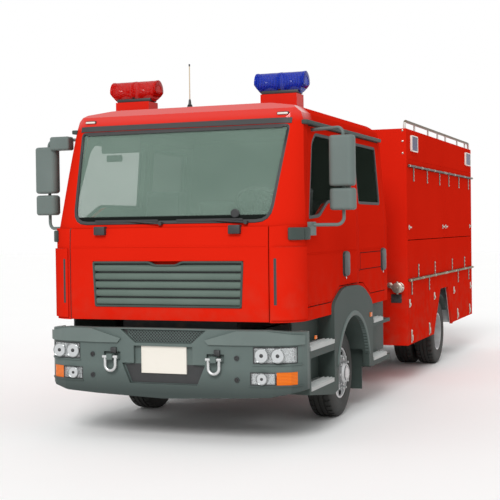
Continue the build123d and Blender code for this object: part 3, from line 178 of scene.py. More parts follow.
FLOOR_HALF, FLOOR_GAP = 60.0, 0.001
SKY, SEEN_SKY = 0.66, 1.0
LAMP_STRENGTH, LAMP_SPREAD = 2.0, math.radians(24)
LAMP_FROM = Vector((0.16, -1.0, 0.72))

bpy.ops.object.select_all(action="DESELECT")
bpy.ops.mesh.primitive_grid_add(x_subdivisions=8, y_subdivisions=8, size=2 * FLOOR_HALF,
                                location=(0, 0, -FLOOR_GAP))
floor = bpy.context.object
floor.name = "floor"
floor_finish = Finish("floor", (0.88, 0.88, 0.87), 0.75)
mottling = floor_finish.noise(0.7)
floor_finish.set("Base Color", floor_finish.blend(mottling, (0.94, 0.94, 0.935), (0.965, 0.965, 0.96)))
dress(floor_finish, floor)

lamp = bpy.data.objects.new("lamp", bpy.data.lights.new("lamp", "SUN"))
lamp.data.energy = LAMP_STRENGTH
lamp.data.angle = LAMP_SPREAD
lamp.rotation_mode = "QUATERNION"
lamp.rotation_quaternion = LAMP_FROM.to_track_quat("Z", "Y")
bpy.context.scene.collection.objects.link(lamp)

# The sky lights the truck softly, and is white where it is seen, mirrored or looked at through glass.
world = bpy.data.worlds.new("sky")
world.use_nodes = True
bpy.context.scene.world = world
tree = world.node_tree
backdrop = tree.nodes["Background"]
backdrop.inputs["Color"].default_value = (1, 1, 1, 1)
strength = tree.nodes.new("ShaderNodeMapRange")
strength.inputs["To Min"].default_value = SKY
strength.inputs["To Max"].default_value = SEEN_SKY
rays = tree.nodes.new("ShaderNodeLightPath")
seen = rays.outputs["Is Camera Ray"]
for kind in ("Is Glossy Ray", "Is Transmission Ray"):
    either = tree.nodes.new("ShaderNodeMath")
    either.operation = "MAXIMUM"
    tree.links.new(seen, either.inputs[0])
    tree.links.new(rays.outputs[kind], either.inputs[1])
    seen = either.outputs[0]
tree.links.new(seen, strength.inputs["Value"])
tree.links.new(strength.outputs[0], backdrop.inputs["Strength"])


# Painted panels
# Steel panels of the cab and aluminium flaps of the body, sprayed bright red under clear lacquer. Inside,
# the cab is lined with grey-green vinyl and the body is bare aluminium. Folded edges are slightly round.
RED, DEEP_RED, DUSTY = (0.63, 0.017, 0.006), (0.54, 0.012, 0.004), (0.33, 0.075, 0.045)
VINYL, BARE_METAL, BLACK = (0.150, 0.185, 0.165), (0.40, 0.41, 0.41), (0.018, 0.020, 0.020)
FOLD, DOOR_FOLD, FOLD_ANGLE = 0.004, 0.003, math.radians(28)
SKIN_DEPTH, LINING_DEPTH, FLAP_INNER, BODY_WALL = 0.012, 0.12, (1.104, 1.1065), (0.028, 0.030)
CAB_HALF, CAB_FRONT, CAB_BACK, CAB_ROOF = 1.12, 0.09, 3.0, 2.795
WAIST, SIDE_LEAN, SCREEN_LEAN = 1.75, 0.0824, 0.3678
BODY_HALF, BODY_FRONT, BODY_BACK, BODY_ROOF, BODY_FLOOR = 1.14, 3.83, 7.86, 2.79, 0.424


def paint(name, roughness=0.30):
    """Red enamel with slight clouding, dust low down and a fine orange peel."""
    finish = Finish(name, RED, roughness, specular=0.0)
    dust = finish.noise(7.0, 5.0).above(0.42, 0.75) * (1.0 - finish.axis("Z").above(0.45, 1.5)) * 0.45
    finish.set("Base Color", finish.blend(dust, finish.blend(finish.noise(0.9, 2.0), DEEP_RED, RED), DUSTY))
    finish.set("Roughness", finish.noise(3.0) * 0.14 + (roughness - 0.07) + dust * 0.4)
    finish.bump(finish.noise(240.0, 1.0), 0.00003)
    return finish


def places(finish):
    """Distance from the truck's middle plane, station and height."""
    return finish.axis("X").math("ABSOLUTE"), finish.axis("Y") - NOSE, finish.axis("Z")


def least(first, *others):
    for other in others:
        first = first.math("MINIMUM", other)
    return first


def lined(finish, inner, lining, rough):
    """Another colour and gloss on the shell's inner side."""
    finish.tint(inner, lining)
    finish.set("Roughness", finish.fed("Roughness") * (1.0 - inner) + inner * rough)


def outward(finish, middle):
    """Above 0 where the surface looks away from a middle, below 0 on the inner side of a shell."""
    facing = finish.node("ShaderNodeTexCoord", output="Normal")
    arm = finish.node("ShaderNodeVectorMath", {"operation": "SUBTRACT"}, {0: finish.place, 1: middle})
    ends = {0: facing, 1: arm}
    return finish.node("ShaderNodeVectorMath", {"operation": "DOT_PRODUCT"}, ends, output="Value")


# The lining begins at some depth under the cab's outer faces, which lean inwards above the waist.
cab_paint = paint("cab_paint")
across, station, height = places(cab_paint)
lean = (height - WAIST).math("MAXIMUM", 0)
depth = least(CAB_HALF - lean * SIDE_LEAN - across, station - CAB_FRONT - lean * SCREEN_LEAN,
              CAB_BACK - station, CAB_ROOF - height)
looks_in = 1.0 - outward(cab_paint, at(0, 1.5, 1.9)).above(-0.01, 0.01)
skin_inside = looks_in * depth.above(0.0, SKIN_DEPTH)
lined(cab_paint, skin_inside.math("MAXIMUM", depth > LINING_DEPTH), VINYL, 0.7)
cab_paint.set("Coat Weight", height.above(2.60, 2.68) * (1.0 - station.above(0.62, 0.80)))

# The pull handles, the only parts that stand out of the doors at that height, are black.
handle_zone = height.above(1.300, 1.301) * (1.0 - height.above(1.499, 1.500)) * (station > 0.9)
pull_handles = (across > CAB_HALF + 0.0015) * handle_zone
cab_paint.tint(pull_handles, BLACK)

body_paint = paint("body_paint", 0.36)
across, station, height = places(body_paint)
depth = least(BODY_HALF - across, station - BODY_FRONT, BODY_BACK - station, BODY_ROOF - height,
              height - BODY_FLOOR)
lined(body_paint, depth.above(*BODY_WALL), BARE_METAL, 0.45)

# The strap hinges are screwed on the flaps' outer faces, and stay bare zinc.
flap_paint = paint("flap_paint", 0.36)
across = places(flap_paint)[0]
zinc = across > BODY_HALF + 0.0003
metal = zinc.math("MAXIMUM", 1.0 - across.above(*FLAP_INNER))
zinc_tone = flap_paint.blend(flap_paint.noise(18.0, 4.0), (0.05, 0.045, 0.03), (0.24, 0.22, 0.18))
flap_paint.tint(metal, zinc_tone)
flap_paint.set("Metallic", zinc * 0.9)


def eased(piece, width):
    """Merge a CAD node's loose triangles and round off its folded edges."""
    weld = piece.modifiers.new("weld", "WELD")
    weld.merge_threshold = 1e-5
    bevel = piece.modifiers.new("bevel", "BEVEL")
    bevel.width = width
    bevel.segments = 2
    bevel.limit_method = "ANGLE"
    bevel.angle_limit = FOLD_ANGLE


for name, node in nodes.items():
    if name.startswith(("cab_shell", "door_", "front_flap")):
        dress(cab_paint, node)
    elif name.startswith(("upper_flap", "lower_flap", "skirt_flap")):
        dress(flap_paint, node)
        eased(node, FOLD)
    elif name in ("body_shell", "rear_door"):
        dress(body_paint, node)
    if name.startswith("door_"):
        eased(node, DOOR_FOLD)
    elif name in ("front_flap", "body_shell", "rear_door", "bumper", "fenders_and_guards"):
        eased(node, FOLD)


# Glass
# Laminated windscreen with a grey-green tint, and darker toughened panes in the doors. The panes have no
# gloss of their own: the windscreen's pale grey-green is partly its tint and partly painted reflection
# of the sky.
def glass(name, tone_low, tone_high, clearness):
    finish = Finish(name, tone_low, 0.03, specular=0.0)
    streaks_and_reflection = finish.noise(1.3, 3.0, (1, 1, 2.5))
    finish.set("Alpha", streaks_and_reflection * 0.08 + (0.96 - clearness))
    finish.set("Base Color", finish.blend(streaks_and_reflection, tone_low, tone_high))
    return finish


# The windscreen is blacked out along its foot.
# On the windscreen the pale tone and the streaks are partly tint and partly painted reflection of the sky.
screen_glass = glass("laminated_glass", (0.19, 0.275, 0.23), (0.25, 0.345, 0.29), 0.60)
foot = 1.0 - screen_glass.axis("Z").above(1.836, 1.844)
screen_glass.tint(foot, (0.010, 0.012, 0.011))
screen_glass.set("Alpha", screen_glass.fed("Alpha").math("MAXIMUM", foot))
door_glass = glass("toughened_glass", (0.012, 0.018, 0.013), (0.024, 0.033, 0.026), 0.72)
privacy_glass = glass("privacy_glass", (0.010, 0.015, 0.011), (0.020, 0.028, 0.022), 0.22)
dress(screen_glass, nodes["windscreen"])
dress(door_glass, nodes["glass_front_left"], nodes["glass_front_right"])
dress(privacy_glass, nodes["glass_rear_left"], nodes["glass_rear_right"])


# Seals round the panes
# Black rubber profile that is pressed over the flange of each opening and holds the pane. Above the
# windscreen it is backed by a broad dark trim strip.
def mottled(name, tone, roughness, spots, low, high, gloss, grain=None, **sockets):
    """Finish in two tones of one noise, which also varies its gloss, with a fine grain."""
    finish = Finish(name, tone, roughness, **sockets)
    clouds = finish.noise(*spots)
    finish.set("Base Color", finish.blend(clouds, low, high))
    finish.set("Roughness", clouds * gloss[0] + gloss[1])
    if grain:
        finish.bump(finish.noise(*grain[:2]), grain[2])
    return finish


def alone(piece):
    bpy.ops.object.select_all(action="DESELECT")
    piece.select_set(True)
    bpy.context.view_layer.objects.active = piece


@contextmanager
def editing(piece, mode="FACE"):
    alone(piece)
    bpy.ops.object.mode_set(mode="EDIT")
    bpy.ops.mesh.select_mode(type=mode)
    bpy.ops.mesh.select_all(action="SELECT")
    yield
    bpy.ops.object.mode_set(mode="OBJECT")


def pick(piece, test):
    """Select the faces whose centre and normal pass a test."""
    bpy.ops.mesh.select_all(action="DESELECT")
    mesh = bmesh.from_edit_mesh(piece.data)
    for face in mesh.faces:
        if test(face.calc_center_median(), face.normal):
            face.select_set(True)
    bmesh.update_edit_mesh(piece.data)


def smooth(piece, degrees=35):
    alone(piece)
    bpy.ops.object.shade_smooth_by_angle(angle=math.radians(degrees))


def apply(piece, kind, **settings):
    """Add one modifier and apply it."""
    alone(piece)
    modifier = piece.modifiers.new(kind.lower(), kind)
    for name, value in settings.items():
        setattr(modifier, name, value)
    bpy.ops.object.modifier_apply(modifier=modifier.name)


def named(name):
    """Name the new primitive and put its place into its mesh."""
    piece = bpy.context.object
    piece.name = name
    piece.data.name = name
    bpy.ops.object.transform_apply(location=True, rotation=True, scale=True)
    return piece


def strip(name, middle, across_size, up_size, across_steps, up_steps, rotation):
    """Flat sheet divided into small fields, to be bent over a surface."""
    bpy.ops.object.select_all(action="DESELECT")
    bpy.ops.mesh.primitive_grid_add(x_subdivisions=across_steps, y_subdivisions=up_steps, size=1,
                                    location=middle, rotation=rotation)
    bpy.context.object.scale = (across_size, up_size, 1)
    return named(name)


def laid_on(piece, node, direction, thickness, proud=0.0):
    """Press a thin sheet on a CAD node's surface along an axis and give it its thickness."""
    axis = "xyz"[max(range(3), key=lambda i: abs(direction[i]))]
    apply(piece, "SHRINKWRAP", target=nodes[node], wrap_method="PROJECT", offset=proud,
          **{f"use_project_{axis}": True, "use_positive_direction": sum(direction) > 0,
             "use_negative_direction": sum(direction) < 0})
    with editing(piece):
        pick(piece, lambda centre, normal: normal.dot(Vector(direction)) > 0)
        bpy.ops.mesh.flip_normals()
    apply(piece, "SOLIDIFY", thickness=thickness, offset=1)
    smooth(piece)
    return piece


def joined(name, pieces):
    """One piece from several."""
    alone(pieces[0])
    for piece in pieces[1:]:
        piece.select_set(True)
    if len(pieces) > 1:
        bpy.ops.object.join()
    pieces[0].name = name
    pieces[0].data.name = name
    return pieces[0]


def skin_of(name, node, facing, least=0.6):
    """Copy of the faces of a CAD node that look one way, with its loose triangles merged."""
    piece = bpy.data.objects.new(name, nodes[node].data.copy())
    bpy.context.scene.collection.objects.link(piece)
    with editing(piece):
        bpy.ops.mesh.remove_doubles(threshold=1e-5)
        pick(piece, lambda centre, normal: normal.dot(Vector(facing)) < least)
        bpy.ops.mesh.delete(type="FACE")
        bpy.ops.mesh.select_all(action="SELECT")
        bpy.ops.mesh.dissolve_limited(angle_limit=math.radians(1))
    return piece


def opened(piece, width):
    """Leave only a band along the edge of a flat piece."""
    with editing(piece):
        bpy.ops.mesh.inset(thickness=width, depth=0)
        bpy.ops.mesh.delete(type="FACE")
    return piece


def edging(name, node, facing, width, proud):
    """Band that follows the edge of a CAD node's face: a seal or a rim."""
    piece = opened(skin_of(name, node, facing), width)
    apply(piece, "SOLIDIFY", thickness=proud, offset=1)
    smooth(piece)
    return piece


def fit(finish, slot, *pieces, body="chassis"):
    """Finish pieces and fix them to their body. The slot that they would count as is not used."""
    for piece in pieces:
        dress(finish, piece)
        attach(piece, body)


SEAL_WIDTH, SEAL_PROUD = 0.026, 0.0125
FRONT_VIEW, REARWARDS = (math.pi / 2, 0, 0), (0, 1, 0)

rubber = mottled("seal_rubber", (0.016, 0.016, 0.017), 0.62, (9.0, 4.0), (0.012, 0.012, 0.013),
                 (0.035, 0.036, 0.036), (0.25, 0.5), (380.0, 3.0, 0.0002))

trim = strip("trim", at(0, -0.3, 2.6055), 1.94, 0.045, 60, 2, FRONT_VIEW)
laid_on(trim, "cab_shell", REARWARDS, 0.007)
pane_edge = strip("pane_edge", at(0, -0.3, 2.563), 1.80, 0.030, 60, 1, FRONT_VIEW)
laid_on(pane_edge, "windscreen", REARWARDS, 0.004, 0.009)
trim = joined("windscreen_trim", [trim, pane_edge])
seal = edging("windscreen_seal", "windscreen", (0, -1, 0.3), SEAL_WIDTH, SEAL_PROUD)
fit(rubber, "black_plastic", seal)
for side, facing in (("left", (1, 0, 0)), ("right", (-1, 0, 0))):
    for door in ("front", "rear"):
        seal = edging(f"glass_seal_{door}_{side}", f"glass_{door}_{side}", facing, SEAL_WIDTH, SEAL_PROUD)
        fit(rubber, "black_plastic", seal, body=f"door_{door}_{side}")
fit(rubber, "black_plastic", trim)


# Bumper, fenders and mirror housings
# Thick mouldings in dark grey plastic, coloured through, with a fine grain. Low down they are darker with
# painted shade. Corner mouldings stand proud along the bumper's upper edge.
def copied(name, piece, shift=(0, 0, 0)):
    twin = bpy.data.objects.new(name, piece.data.copy())
    twin.data.transform(Matrix.Translation(Vector(shift)))
    bpy.context.scene.collection.objects.link(twin)
    return twin


def mirrored(name, piece):
    """The same piece for the other side of the truck, with its own mesh."""
    twin = copied(name, piece)
    twin.data.transform(Matrix.Scale(-1, 4, (1, 0, 0)))
    twin.data.flip_normals()
    return twin


def fit_pair(finish, slot, *pieces, body="chassis"):
    """Fit left-hand pieces, and their mirror images on the right-hand side's own body."""
    for piece in pieces:
        twin = mirrored(piece.name.replace("left", "right"), piece)
        fit(finish, slot, piece, body=body)
        fit(finish, slot, twin, body=body.replace("left", "right"))


def cut(cuts, fill=False):
    """Cut the mesh in hand off at planes, on the side that each one's normal points to."""
    for point, normal in cuts:
        bpy.ops.mesh.select_all(action="SELECT")
        bpy.ops.mesh.bisect(plane_co=point, plane_no=normal, use_fill=fill, clear_outer=True)


MOULD_GRAIN = (850.0, 2.0, 0.0002)

grey_plastic = mottled("grey_plastic", (0.08, 0.105, 0.10), 0.5, (2.4, 4.0), (0.072, 0.098, 0.092),
                       (0.118, 0.150, 0.140), (0.2, 0.42), MOULD_GRAIN, specular=0.25)
# Below about half a metre the plastic darkens: painted shade on its lower faces.
above_painted_shade = grey_plastic.axis("Z").above(0.40, 0.62)
evenly_grey = grey_plastic.fed("Base Color")
grey_plastic.set("Base Color", grey_plastic.blend(above_painted_shade, (0.036, 0.048, 0.045), evenly_grey))
black_plastic = mottled("black_plastic", (0.016, 0.017, 0.018), 0.45, (6.0, 5.0), (0.012, 0.013, 0.014),
                        (0.034, 0.035, 0.036), (0.25, 0.35), (700.0, 2.0, 0.0002))
fender_plastic = mottled("fender_plastic", (0.045, 0.06, 0.054), 0.55, (4.0, 5.0), (0.038, 0.052, 0.047),
                         (0.066, 0.085, 0.077), (0.2, 0.45), MOULD_GRAIN, specular=0.12)
pale_plastic = mottled("pale_plastic", (0.12, 0.15, 0.14), 0.5, (2.4, 4.0), (0.098, 0.126, 0.118),
                       (0.150, 0.186, 0.174), (0.2, 0.42), MOULD_GRAIN, specular=0.25)
dress(fender_plastic, nodes["fenders_and_guards"])
dress(grey_plastic, nodes["bumper"])
dress(black_plastic, nodes["wipers"])
dress(pale_plastic, nodes["mirror_left"], nodes["mirror_right"])

wing = strip("bumper_wing_left", at(0.745, -0.4, 0.862), 0.77, 0.112, 36, 5, FRONT_VIEW)
with editing(wing):
    cut(((at(0.405, 0, 0.806), (-0.75, 0, -0.66)), (at(0.47, 0, 0.868), (-0.28, 0, 0.96)),
         (at(0.9, 0, 0.915), (0.16, 0, 0.99))))
laid_on(wing, "bumper", REARWARDS, 0.018)
apply(wing, "BEVEL", width=0.008, segments=2, angle_limit=math.radians(40))
smooth(wing)
fit_pair(pale_plastic, "black_plastic", wing)


def blank(name, corners, round_corners=0.0, steps=4):
    """Flat blank with the given corners, made from a disc whose rim is drawn to them."""
    bpy.ops.object.select_all(action="DESELECT")
    bpy.ops.mesh.primitive_circle_add(vertices=len(corners), radius=1, fill_type="NGON")
    piece = named(name)
    for vertex, corner in zip(piece.data.vertices, corners):
        vertex.co = corner
    if round_corners:
        with editing(piece, "VERT"):
            bpy.ops.mesh.bevel(offset=round_corners, segments=steps, affect="VERTICES")
    return piece


def thickened(piece, thickness, edge=0.0, steps=2, degrees=35):
    """Draw a blank out into a plate and round its edges."""
    with editing(piece):
        bpy.ops.mesh.extrude_region_move(TRANSFORM_OT_translate={"value": thickness})
        bpy.ops.mesh.select_all(action="SELECT")
        bpy.ops.mesh.normals_make_consistent(inside=False)
    if edge:
        apply(piece, "BEVEL", width=edge, segments=steps, limit_method="ANGLE", angle_limit=math.radians(40))
    smooth(piece, degrees)
    return piece


AXES = {"X": (Vector((1, 0, 0)), (0, math.pi / 2, 0)), "Y": (Vector((0, 1, 0)), (-math.pi / 2, 0, 0)),
        "Z": (Vector((0, 0, 1)), (0, 0, 0))}


def turned(name, centre, axis, rings, sides=48, ring_shaped=False, sharp=35):
    """Turned piece: a circle drawn out along its axis through rings of offset and radius."""
    along, rotation = AXES[axis]
    (offset, radius), later = rings[0], rings[1:]
    bpy.ops.object.select_all(action="DESELECT")
    bpy.ops.mesh.primitive_circle_add(vertices=sides, radius=radius, location=centre + along * offset,
                                      rotation=rotation)
    piece = named(name)
    with editing(piece, "EDGE"):
        for next_offset, next_radius in later:
            bpy.ops.mesh.extrude_region_move(TRANSFORM_OT_translate={"value": along * (next_offset - offset)})
            factor = next_radius / radius
            bpy.ops.transform.resize(value=(factor,) * 3, center_override=centre + along * next_offset)
            offset, radius = next_offset, next_radius
        bpy.ops.mesh.select_all(action="DESELECT")
        bpy.ops.mesh.select_non_manifold()
        if ring_shaped:
            bpy.ops.mesh.bridge_edge_loops()
        else:
            bpy.ops.mesh.fill_holes(sides=0)
        bpy.ops.mesh.select_all(action="SELECT")
        bpy.ops.mesh.normals_make_consistent(inside=False)
    smooth(piece, sharp)
    return piece


def middle_of(edge):
    return tuple(round(c, 4) for c in (edge.verts[0].co + edge.verts[1].co) / 2)


# Diamond mesh in the cooling slot. Each field gets a cross, and the lines between the fields go.
wire = strip("bumper_mesh", at(0.02, 0.020, 0.862), 0.68, 0.108, 26, 4, FRONT_VIEW)
with editing(wire, "EDGE"):
    net = bmesh.from_edit_mesh(wire.data)
    old = {middle_of(edge) for edge in net.edges if not edge.is_boundary}
    bpy.ops.mesh.poke()
    bpy.ops.mesh.select_all(action="DESELECT")
    net = bmesh.from_edit_mesh(wire.data)
    for edge in net.edges:
        if middle_of(edge) in old:
            edge.select_set(True)
    bmesh.update_edit_mesh(wire.data)
    bpy.ops.mesh.dissolve_edges(use_verts=False)
    cut(((at(-0.235, 0, 0.808), (-0.62, 0, -0.78)), (at(0.275, 0, 0.808), (0.62, 0, -0.78))))
apply(wire, "WIREFRAME", thickness=0.006, use_boundary=True)

# Dark sheets on the floors of the two recesses in the bumper's face. The one behind the cooling slot's
# mesh is painted shade in the open slot.
MESH_RECESS = ((-0.252, 0.809), (0.252, 0.809), (0.374, 0.913), (-0.374, 0.913))
PLATE_RECESS = ((-0.292, 0.482), (0.292, 0.482), (0.352, 0.622), (0.255, 0.634), (-0.255, 0.634),
                (-0.352, 0.622))
RECESSES = {"mesh_shade_back": (0.0250, MESH_RECESS), "plate_recess_back": (0.0325, PLATE_RECESS)}
for name, (station, corners) in RECESSES.items():
    sheet = thickened(blank(name, [at(x, station, z) for x, z in corners]), (0, 0.0015, 0))
    fit(black_plastic, "black_plastic", sheet)

PLUG = [(0.004, 0.021), (-0.003, 0.020), (-0.003, 0.014), (0.002, 0.012), (0.002, 0.006), (-0.004, 0.005)]
plugs = [turned("plug", at(x, 0.0, z), "Y", PLUG, 24) for x in (-0.642, 0.642) for z in (0.531, 0.703)]
fit(grey_plastic, "black_plastic", wire)
fit(black_plastic, "black_plastic", joined("bumper_plugs", plugs))


# Head lamps, fog lamps and direction lamps
# Each has a bright dished reflector behind a clear cover that is flush with the bumper, in a dark bezel.
# A chromed ring and a shaded bulb show in each reflector, and a grey lip runs below each row.
LAMP_CENTRES = ((0.842, 0.020, 0.726, 0.052), (0.975, 0.030, 0.726, 0.050), (0.842, 0.022, 0.541, 0.040))
LIPS = ((0.646, 0.654, 0.765, 1.128), (0.476, 0.484, 0.740, 1.128))
FORWARDS = (0, -1, 0)

chrome = Finish("lamp_chrome", (0.36, 0.38, 0.38), 0.16, metallic=1.0)
facets = chrome.node("ShaderNodeTexVoronoi", None, {"Vector": chrome.moved(), "Scale": 42.0})
chrome.set("Roughness", facets * 0.25 + 0.10)
chrome.bump(facets, 0.0015)
clear_cover = Finish("clear_cover", (0.90, 0.93, 0.94), 0.04, specular=0.7)
clear_cover.set("Alpha", clear_cover.noise(4.0) * 0.06 + 0.13)
clear_cover.bump(clear_cover.wave("X", 30.0), 0.0015)
amber = Finish("amber_lens", (0.75, 0.16, 0.01), 0.12, specular=0.2)
ribs = amber.wave("Z", 28.0)
amber.set("Base Color", amber.blend(ribs, (0.62, 0.105, 0.006), (0.80, 0.19, 0.012)))
amber.bump(ribs, 0.002)
dress(amber, nodes["lamps_amber"])
bright = Finish("bright_reflector", (0.60, 0.62, 0.63), 0.14, metallic=1.0)
bright.set("Roughness", bright.noise(5.0) * 0.12 + 0.05)

cover = skin_of("lamp_covers", "lamps_clear", FORWARDS, 0.25)
back = copied("lamp_backs", cover, (0, 0.026, 0))
apply(cover, "SOLIDIFY", thickness=0.003, offset=-1)
bezels = opened(skin_of("lamp_bezels", "lamps_clear", FORWARDS, 0.25), 0.007)
apply(bezels, "SOLIDIFY", thickness=0.004, offset=1)
bowls, rings, bulbs = [], [], []
for x, y, z, radius in LAMP_CENTRES:
    bowl = [(-0.010, radius), (0.012, radius * 0.8), (0.022, radius * 0.45), (0.022, radius * 0.22),
            (-0.002, radius * 0.2), (-0.006, radius * 0.1)]
    ring = [(-0.004, radius + 0.001), (-0.006, radius + 0.004), (-0.004, radius + 0.007),
            (0.004, radius + 0.007), (0.004, radius + 0.001)]
    bulb = [(0.0, radius * 0.24), (-0.004, radius * 0.30), (-0.008, radius * 0.12)]
    for side in (-1, 1):
        bowls.append(turned("bowl", at(side * x, y + 0.012, z), "Y", bowl, 40, sharp=50))
        rings.append(turned("ring", at(side * x, y + 0.004, z), "Y", ring, 40, ring_shaped=True))
        bulbs.append(turned("bulb", at(side * x, y + 0.004, z), "Y", bulb, 20))
lips = []
for low, high, first, last in LIPS:
    for side in (-1, 1):
        middle = at(side * (first + last) / 2, -0.4, (low + high) / 2)
        lip = strip("lip", middle, last - first, high - low, 24, 1, FRONT_VIEW)
        lips.append(laid_on(lip, "bumper", REARWARDS, 0.009))
bowls, rings, bulbs = joined("lamp_bowls", bowls), joined("lamp_rings", rings), joined("lamp_bulbs", bulbs)
lips = joined("lamp_lips", lips)
fit(chrome, "bright_steel", rings)
fit(black_plastic, "black_plastic", bulbs)
fit(grey_plastic, "black_plastic", lips)
fit(chrome, "bright_steel", back)
fit(bright, "bright_steel", bowls)
fit(black_plastic, "black_plastic", bezels)
fit(clear_cover, "clear_lens", cover)
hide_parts("lamps_clear")


# Number plate and tow shackles
# Pressed aluminium plate, blank and white, with a raised rim. The bow shackles are galvanised forgings.
plate_white = mottled("plate_white", (0.86, 0.84, 0.78), 0.35, (3.0, 3.0), (0.66, 0.625, 0.555),
                      (0.72, 0.685, 0.62), (0.15, 0.28), coat_weight=0.3)
dress(plate_white, nodes["number_plate"])
plate_rim = edging("plate_rim", "number_plate", FORWARDS, 0.008, 0.0025)
apply(plate_rim, "BEVEL", width=0.001, segments=2)
fit(plate_white, "plate_white", plate_rim)

galvanised = mottled("galvanised_steel", (0.62, 0.63, 0.63), 0.34, (14.0, 5.0), (0.42, 0.43, 0.43),
                     (0.74, 0.75, 0.75), (0.3, 0.2), (120.0, 4.0, 0.0004), metallic=0.9)
dress(galvanised, nodes["tow_shackles"])


# Radiator grille and front flap
# Plastic insert in the front flap: a frame with rounded corners and a small notch at its top, and five
# slats with rolled edges. The back is open, and a dark sheet behind the slats is painted shade.
GRILLE_LOW, GRILLE_HIGH, GRILLE_FACE = 1.0915, 1.469, 0.081
FRAME_BAND, NOTCH_DROP, SLATS = 0.017, 0.026, 5
# One slat from its lower rear edge over its rounded face, as stations and heights.
SLAT = ((0.112, 0.006), (0.096, 0.003), (0.090, 0.008), (0.0865, 0.019), (0.0865, 0.037), (0.091, 0.051),
        (0.098, 0.056), (0.112, 0.057))
NOTCH = ((-0.15, 1.48), (-0.099, 1.428), (0.081, 1.428), (0.132, 1.48))


def trapezoid(name, inset, station):
    low, high = 0.6585 - inset, 0.6775 - inset
    top, notch = GRILLE_HIGH - inset, GRILLE_HIGH - NOTCH_DROP - inset
    foot = GRILLE_LOW + inset
    corners = ((-low, foot), (low, foot), (high, top), (0.137, top), (0.087, notch), (-0.105, notch),
               (-0.155, top), (-high, top))
    return blank(name, [at(x, station, z) for x, z in corners], 0.020)


grille_green = mottled("grille_plastic", (0.085, 0.12, 0.102), 0.42, (3.0, 3.0), (0.070, 0.102, 0.086),
                       (0.110, 0.150, 0.127), (0.2, 0.35), (600.0, 2.0, 0.0002), specular=0.3)

rim = opened(trapezoid("grille_frame", 0.0, GRILLE_FACE), FRAME_BAND)
apply(rim, "SOLIDIFY", thickness=0.03, offset=-1)
apply(rim, "BEVEL", width=0.005, segments=3, limit_method="ANGLE", angle_limit=math.radians(50))
smooth(rim, 50)
# A dark sheet behind the slats stands for the open back: painted shade.
shade_backing = thickened(trapezoid("grille_shade_back", 0.012, 0.118), (0, 0.006, 0))
pitch = (GRILLE_HIGH - GRILLE_LOW - 2 * FRAME_BAND) / SLATS
slats = []
for row in range(SLATS):
    foot = GRILLE_LOW + FRAME_BAND + pitch * row
    half = 0.6450 + 0.018 * row / (SLATS - 1)
    slat = blank("slat", [at(-half, y, foot + z) for y, z in SLAT])
    slats.append(thickened(slat, (2 * half, 0, 0), degrees=45))
slats = joined("grille_slats", slats)
with editing(slats):
    cut(((at(0, 0, GRILLE_HIGH - FRAME_BAND), (0, 0, 1)),))
notch = thickened(blank("notch", [at(x, 0.05, z) for x, z in NOTCH]), (0, 0.1, 0))
apply(slats, "BOOLEAN", object=notch, operation="DIFFERENCE", solver="EXACT")
bpy.data.objects.remove(notch)
fit(fender_plastic, "black_plastic", rim, body="front_flap")
fit(grille_green, "black_plastic", slats, body="front_flap")
fit(black_plastic, "black_plastic", shade_backing, body="front_flap")
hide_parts("grille")


def slab(name, low, high, edge=0.0, steps=2):
    """Block between two corners with rounded edges."""
    low, high = Vector(low), Vector(high)
    bpy.ops.object.select_all(action="DESELECT")
    bpy.ops.mesh.primitive_cube_add(size=1, location=(low + high) / 2, scale=high - low)
    piece = named(name)
    if edge:
        with editing(piece, "EDGE"):
            bpy.ops.mesh.bevel(offset=edge, segments=steps, affect="EDGES")
    smooth(piece)
    return piece


# Dark caps over the front flap's two hinges, and a fold across its skin above the grille.
caps = [slab("cap", at(x, 0.060, 1.686), at(x + 0.102, 0.124, 1.758), 0.009, 3) for x in (-0.651, 0.556)]
fit(black_plastic, "black_plastic", joined("hinge_caps", caps), body="front_flap")
fold = strip("flap_fold", at(0, -0.2, 1.588), 1.74, 0.012, 2, 1, FRONT_VIEW)
laid_on(fold, "front_flap", REARWARDS, 0.0035)
apply(fold, "BEVEL", width=0.003, segments=2)
fit(cab_paint, "red_paint", fold, body="front_flap")


# Tyres
# Steel-belted truck tyres, black rubber. The tread has three grooves round it and short cross cuts on the
# shoulders, and the side walls have moulded rings.
FRONT_AXLE, REAR_AXLE, AXLE_HEIGHT = 1.65, 5.85, 0.3985
TYRES = {"tyre_front": (0.905, FRONT_AXLE, "wheel_front"), "tyres_rear": (0.945, REAR_AXLE, "wheels_rear")}
INNER_TWIN, TYRE_SIDES, CUT_DEPTH = 0.678, 108, 0.009
SIDE_WALL = [(0.100, 0.2225), (0.108, 0.236), (0.1115, 0.240), (0.1105, 0.246), (0.1155, 0.270),
             (0.1175, 0.300), (0.1165, 0.318), (0.1172, 0.322), (0.1150, 0.332), (0.1155, 0.336),
             (0.109, 0.364), (0.104, 0.376), (0.098, 0.388), (0.090, 0.3945)]
TREAD = [(0.084, 0.3965), (0.052, 0.3982), (0.049, 0.388), (0.041, 0.388), (0.038, 0.3984), (0.007, 0.3985),
         (0.005, 0.388)]
HALF_TYRE = SIDE_WALL + TREAD
TYRE_RINGS = [(-x, r) for x, r in HALF_TYRE] + [(x, r) for x, r in reversed(HALF_TYRE)]

tyre_rubber = mottled("tyre_rubber", (0.02, 0.02, 0.021), 0.75, (6.0, 5.0), (0.008, 0.009, 0.008),
                      (0.030, 0.029, 0.026), (0.25, 0.6), (300.0, 3.0, 0.0004))


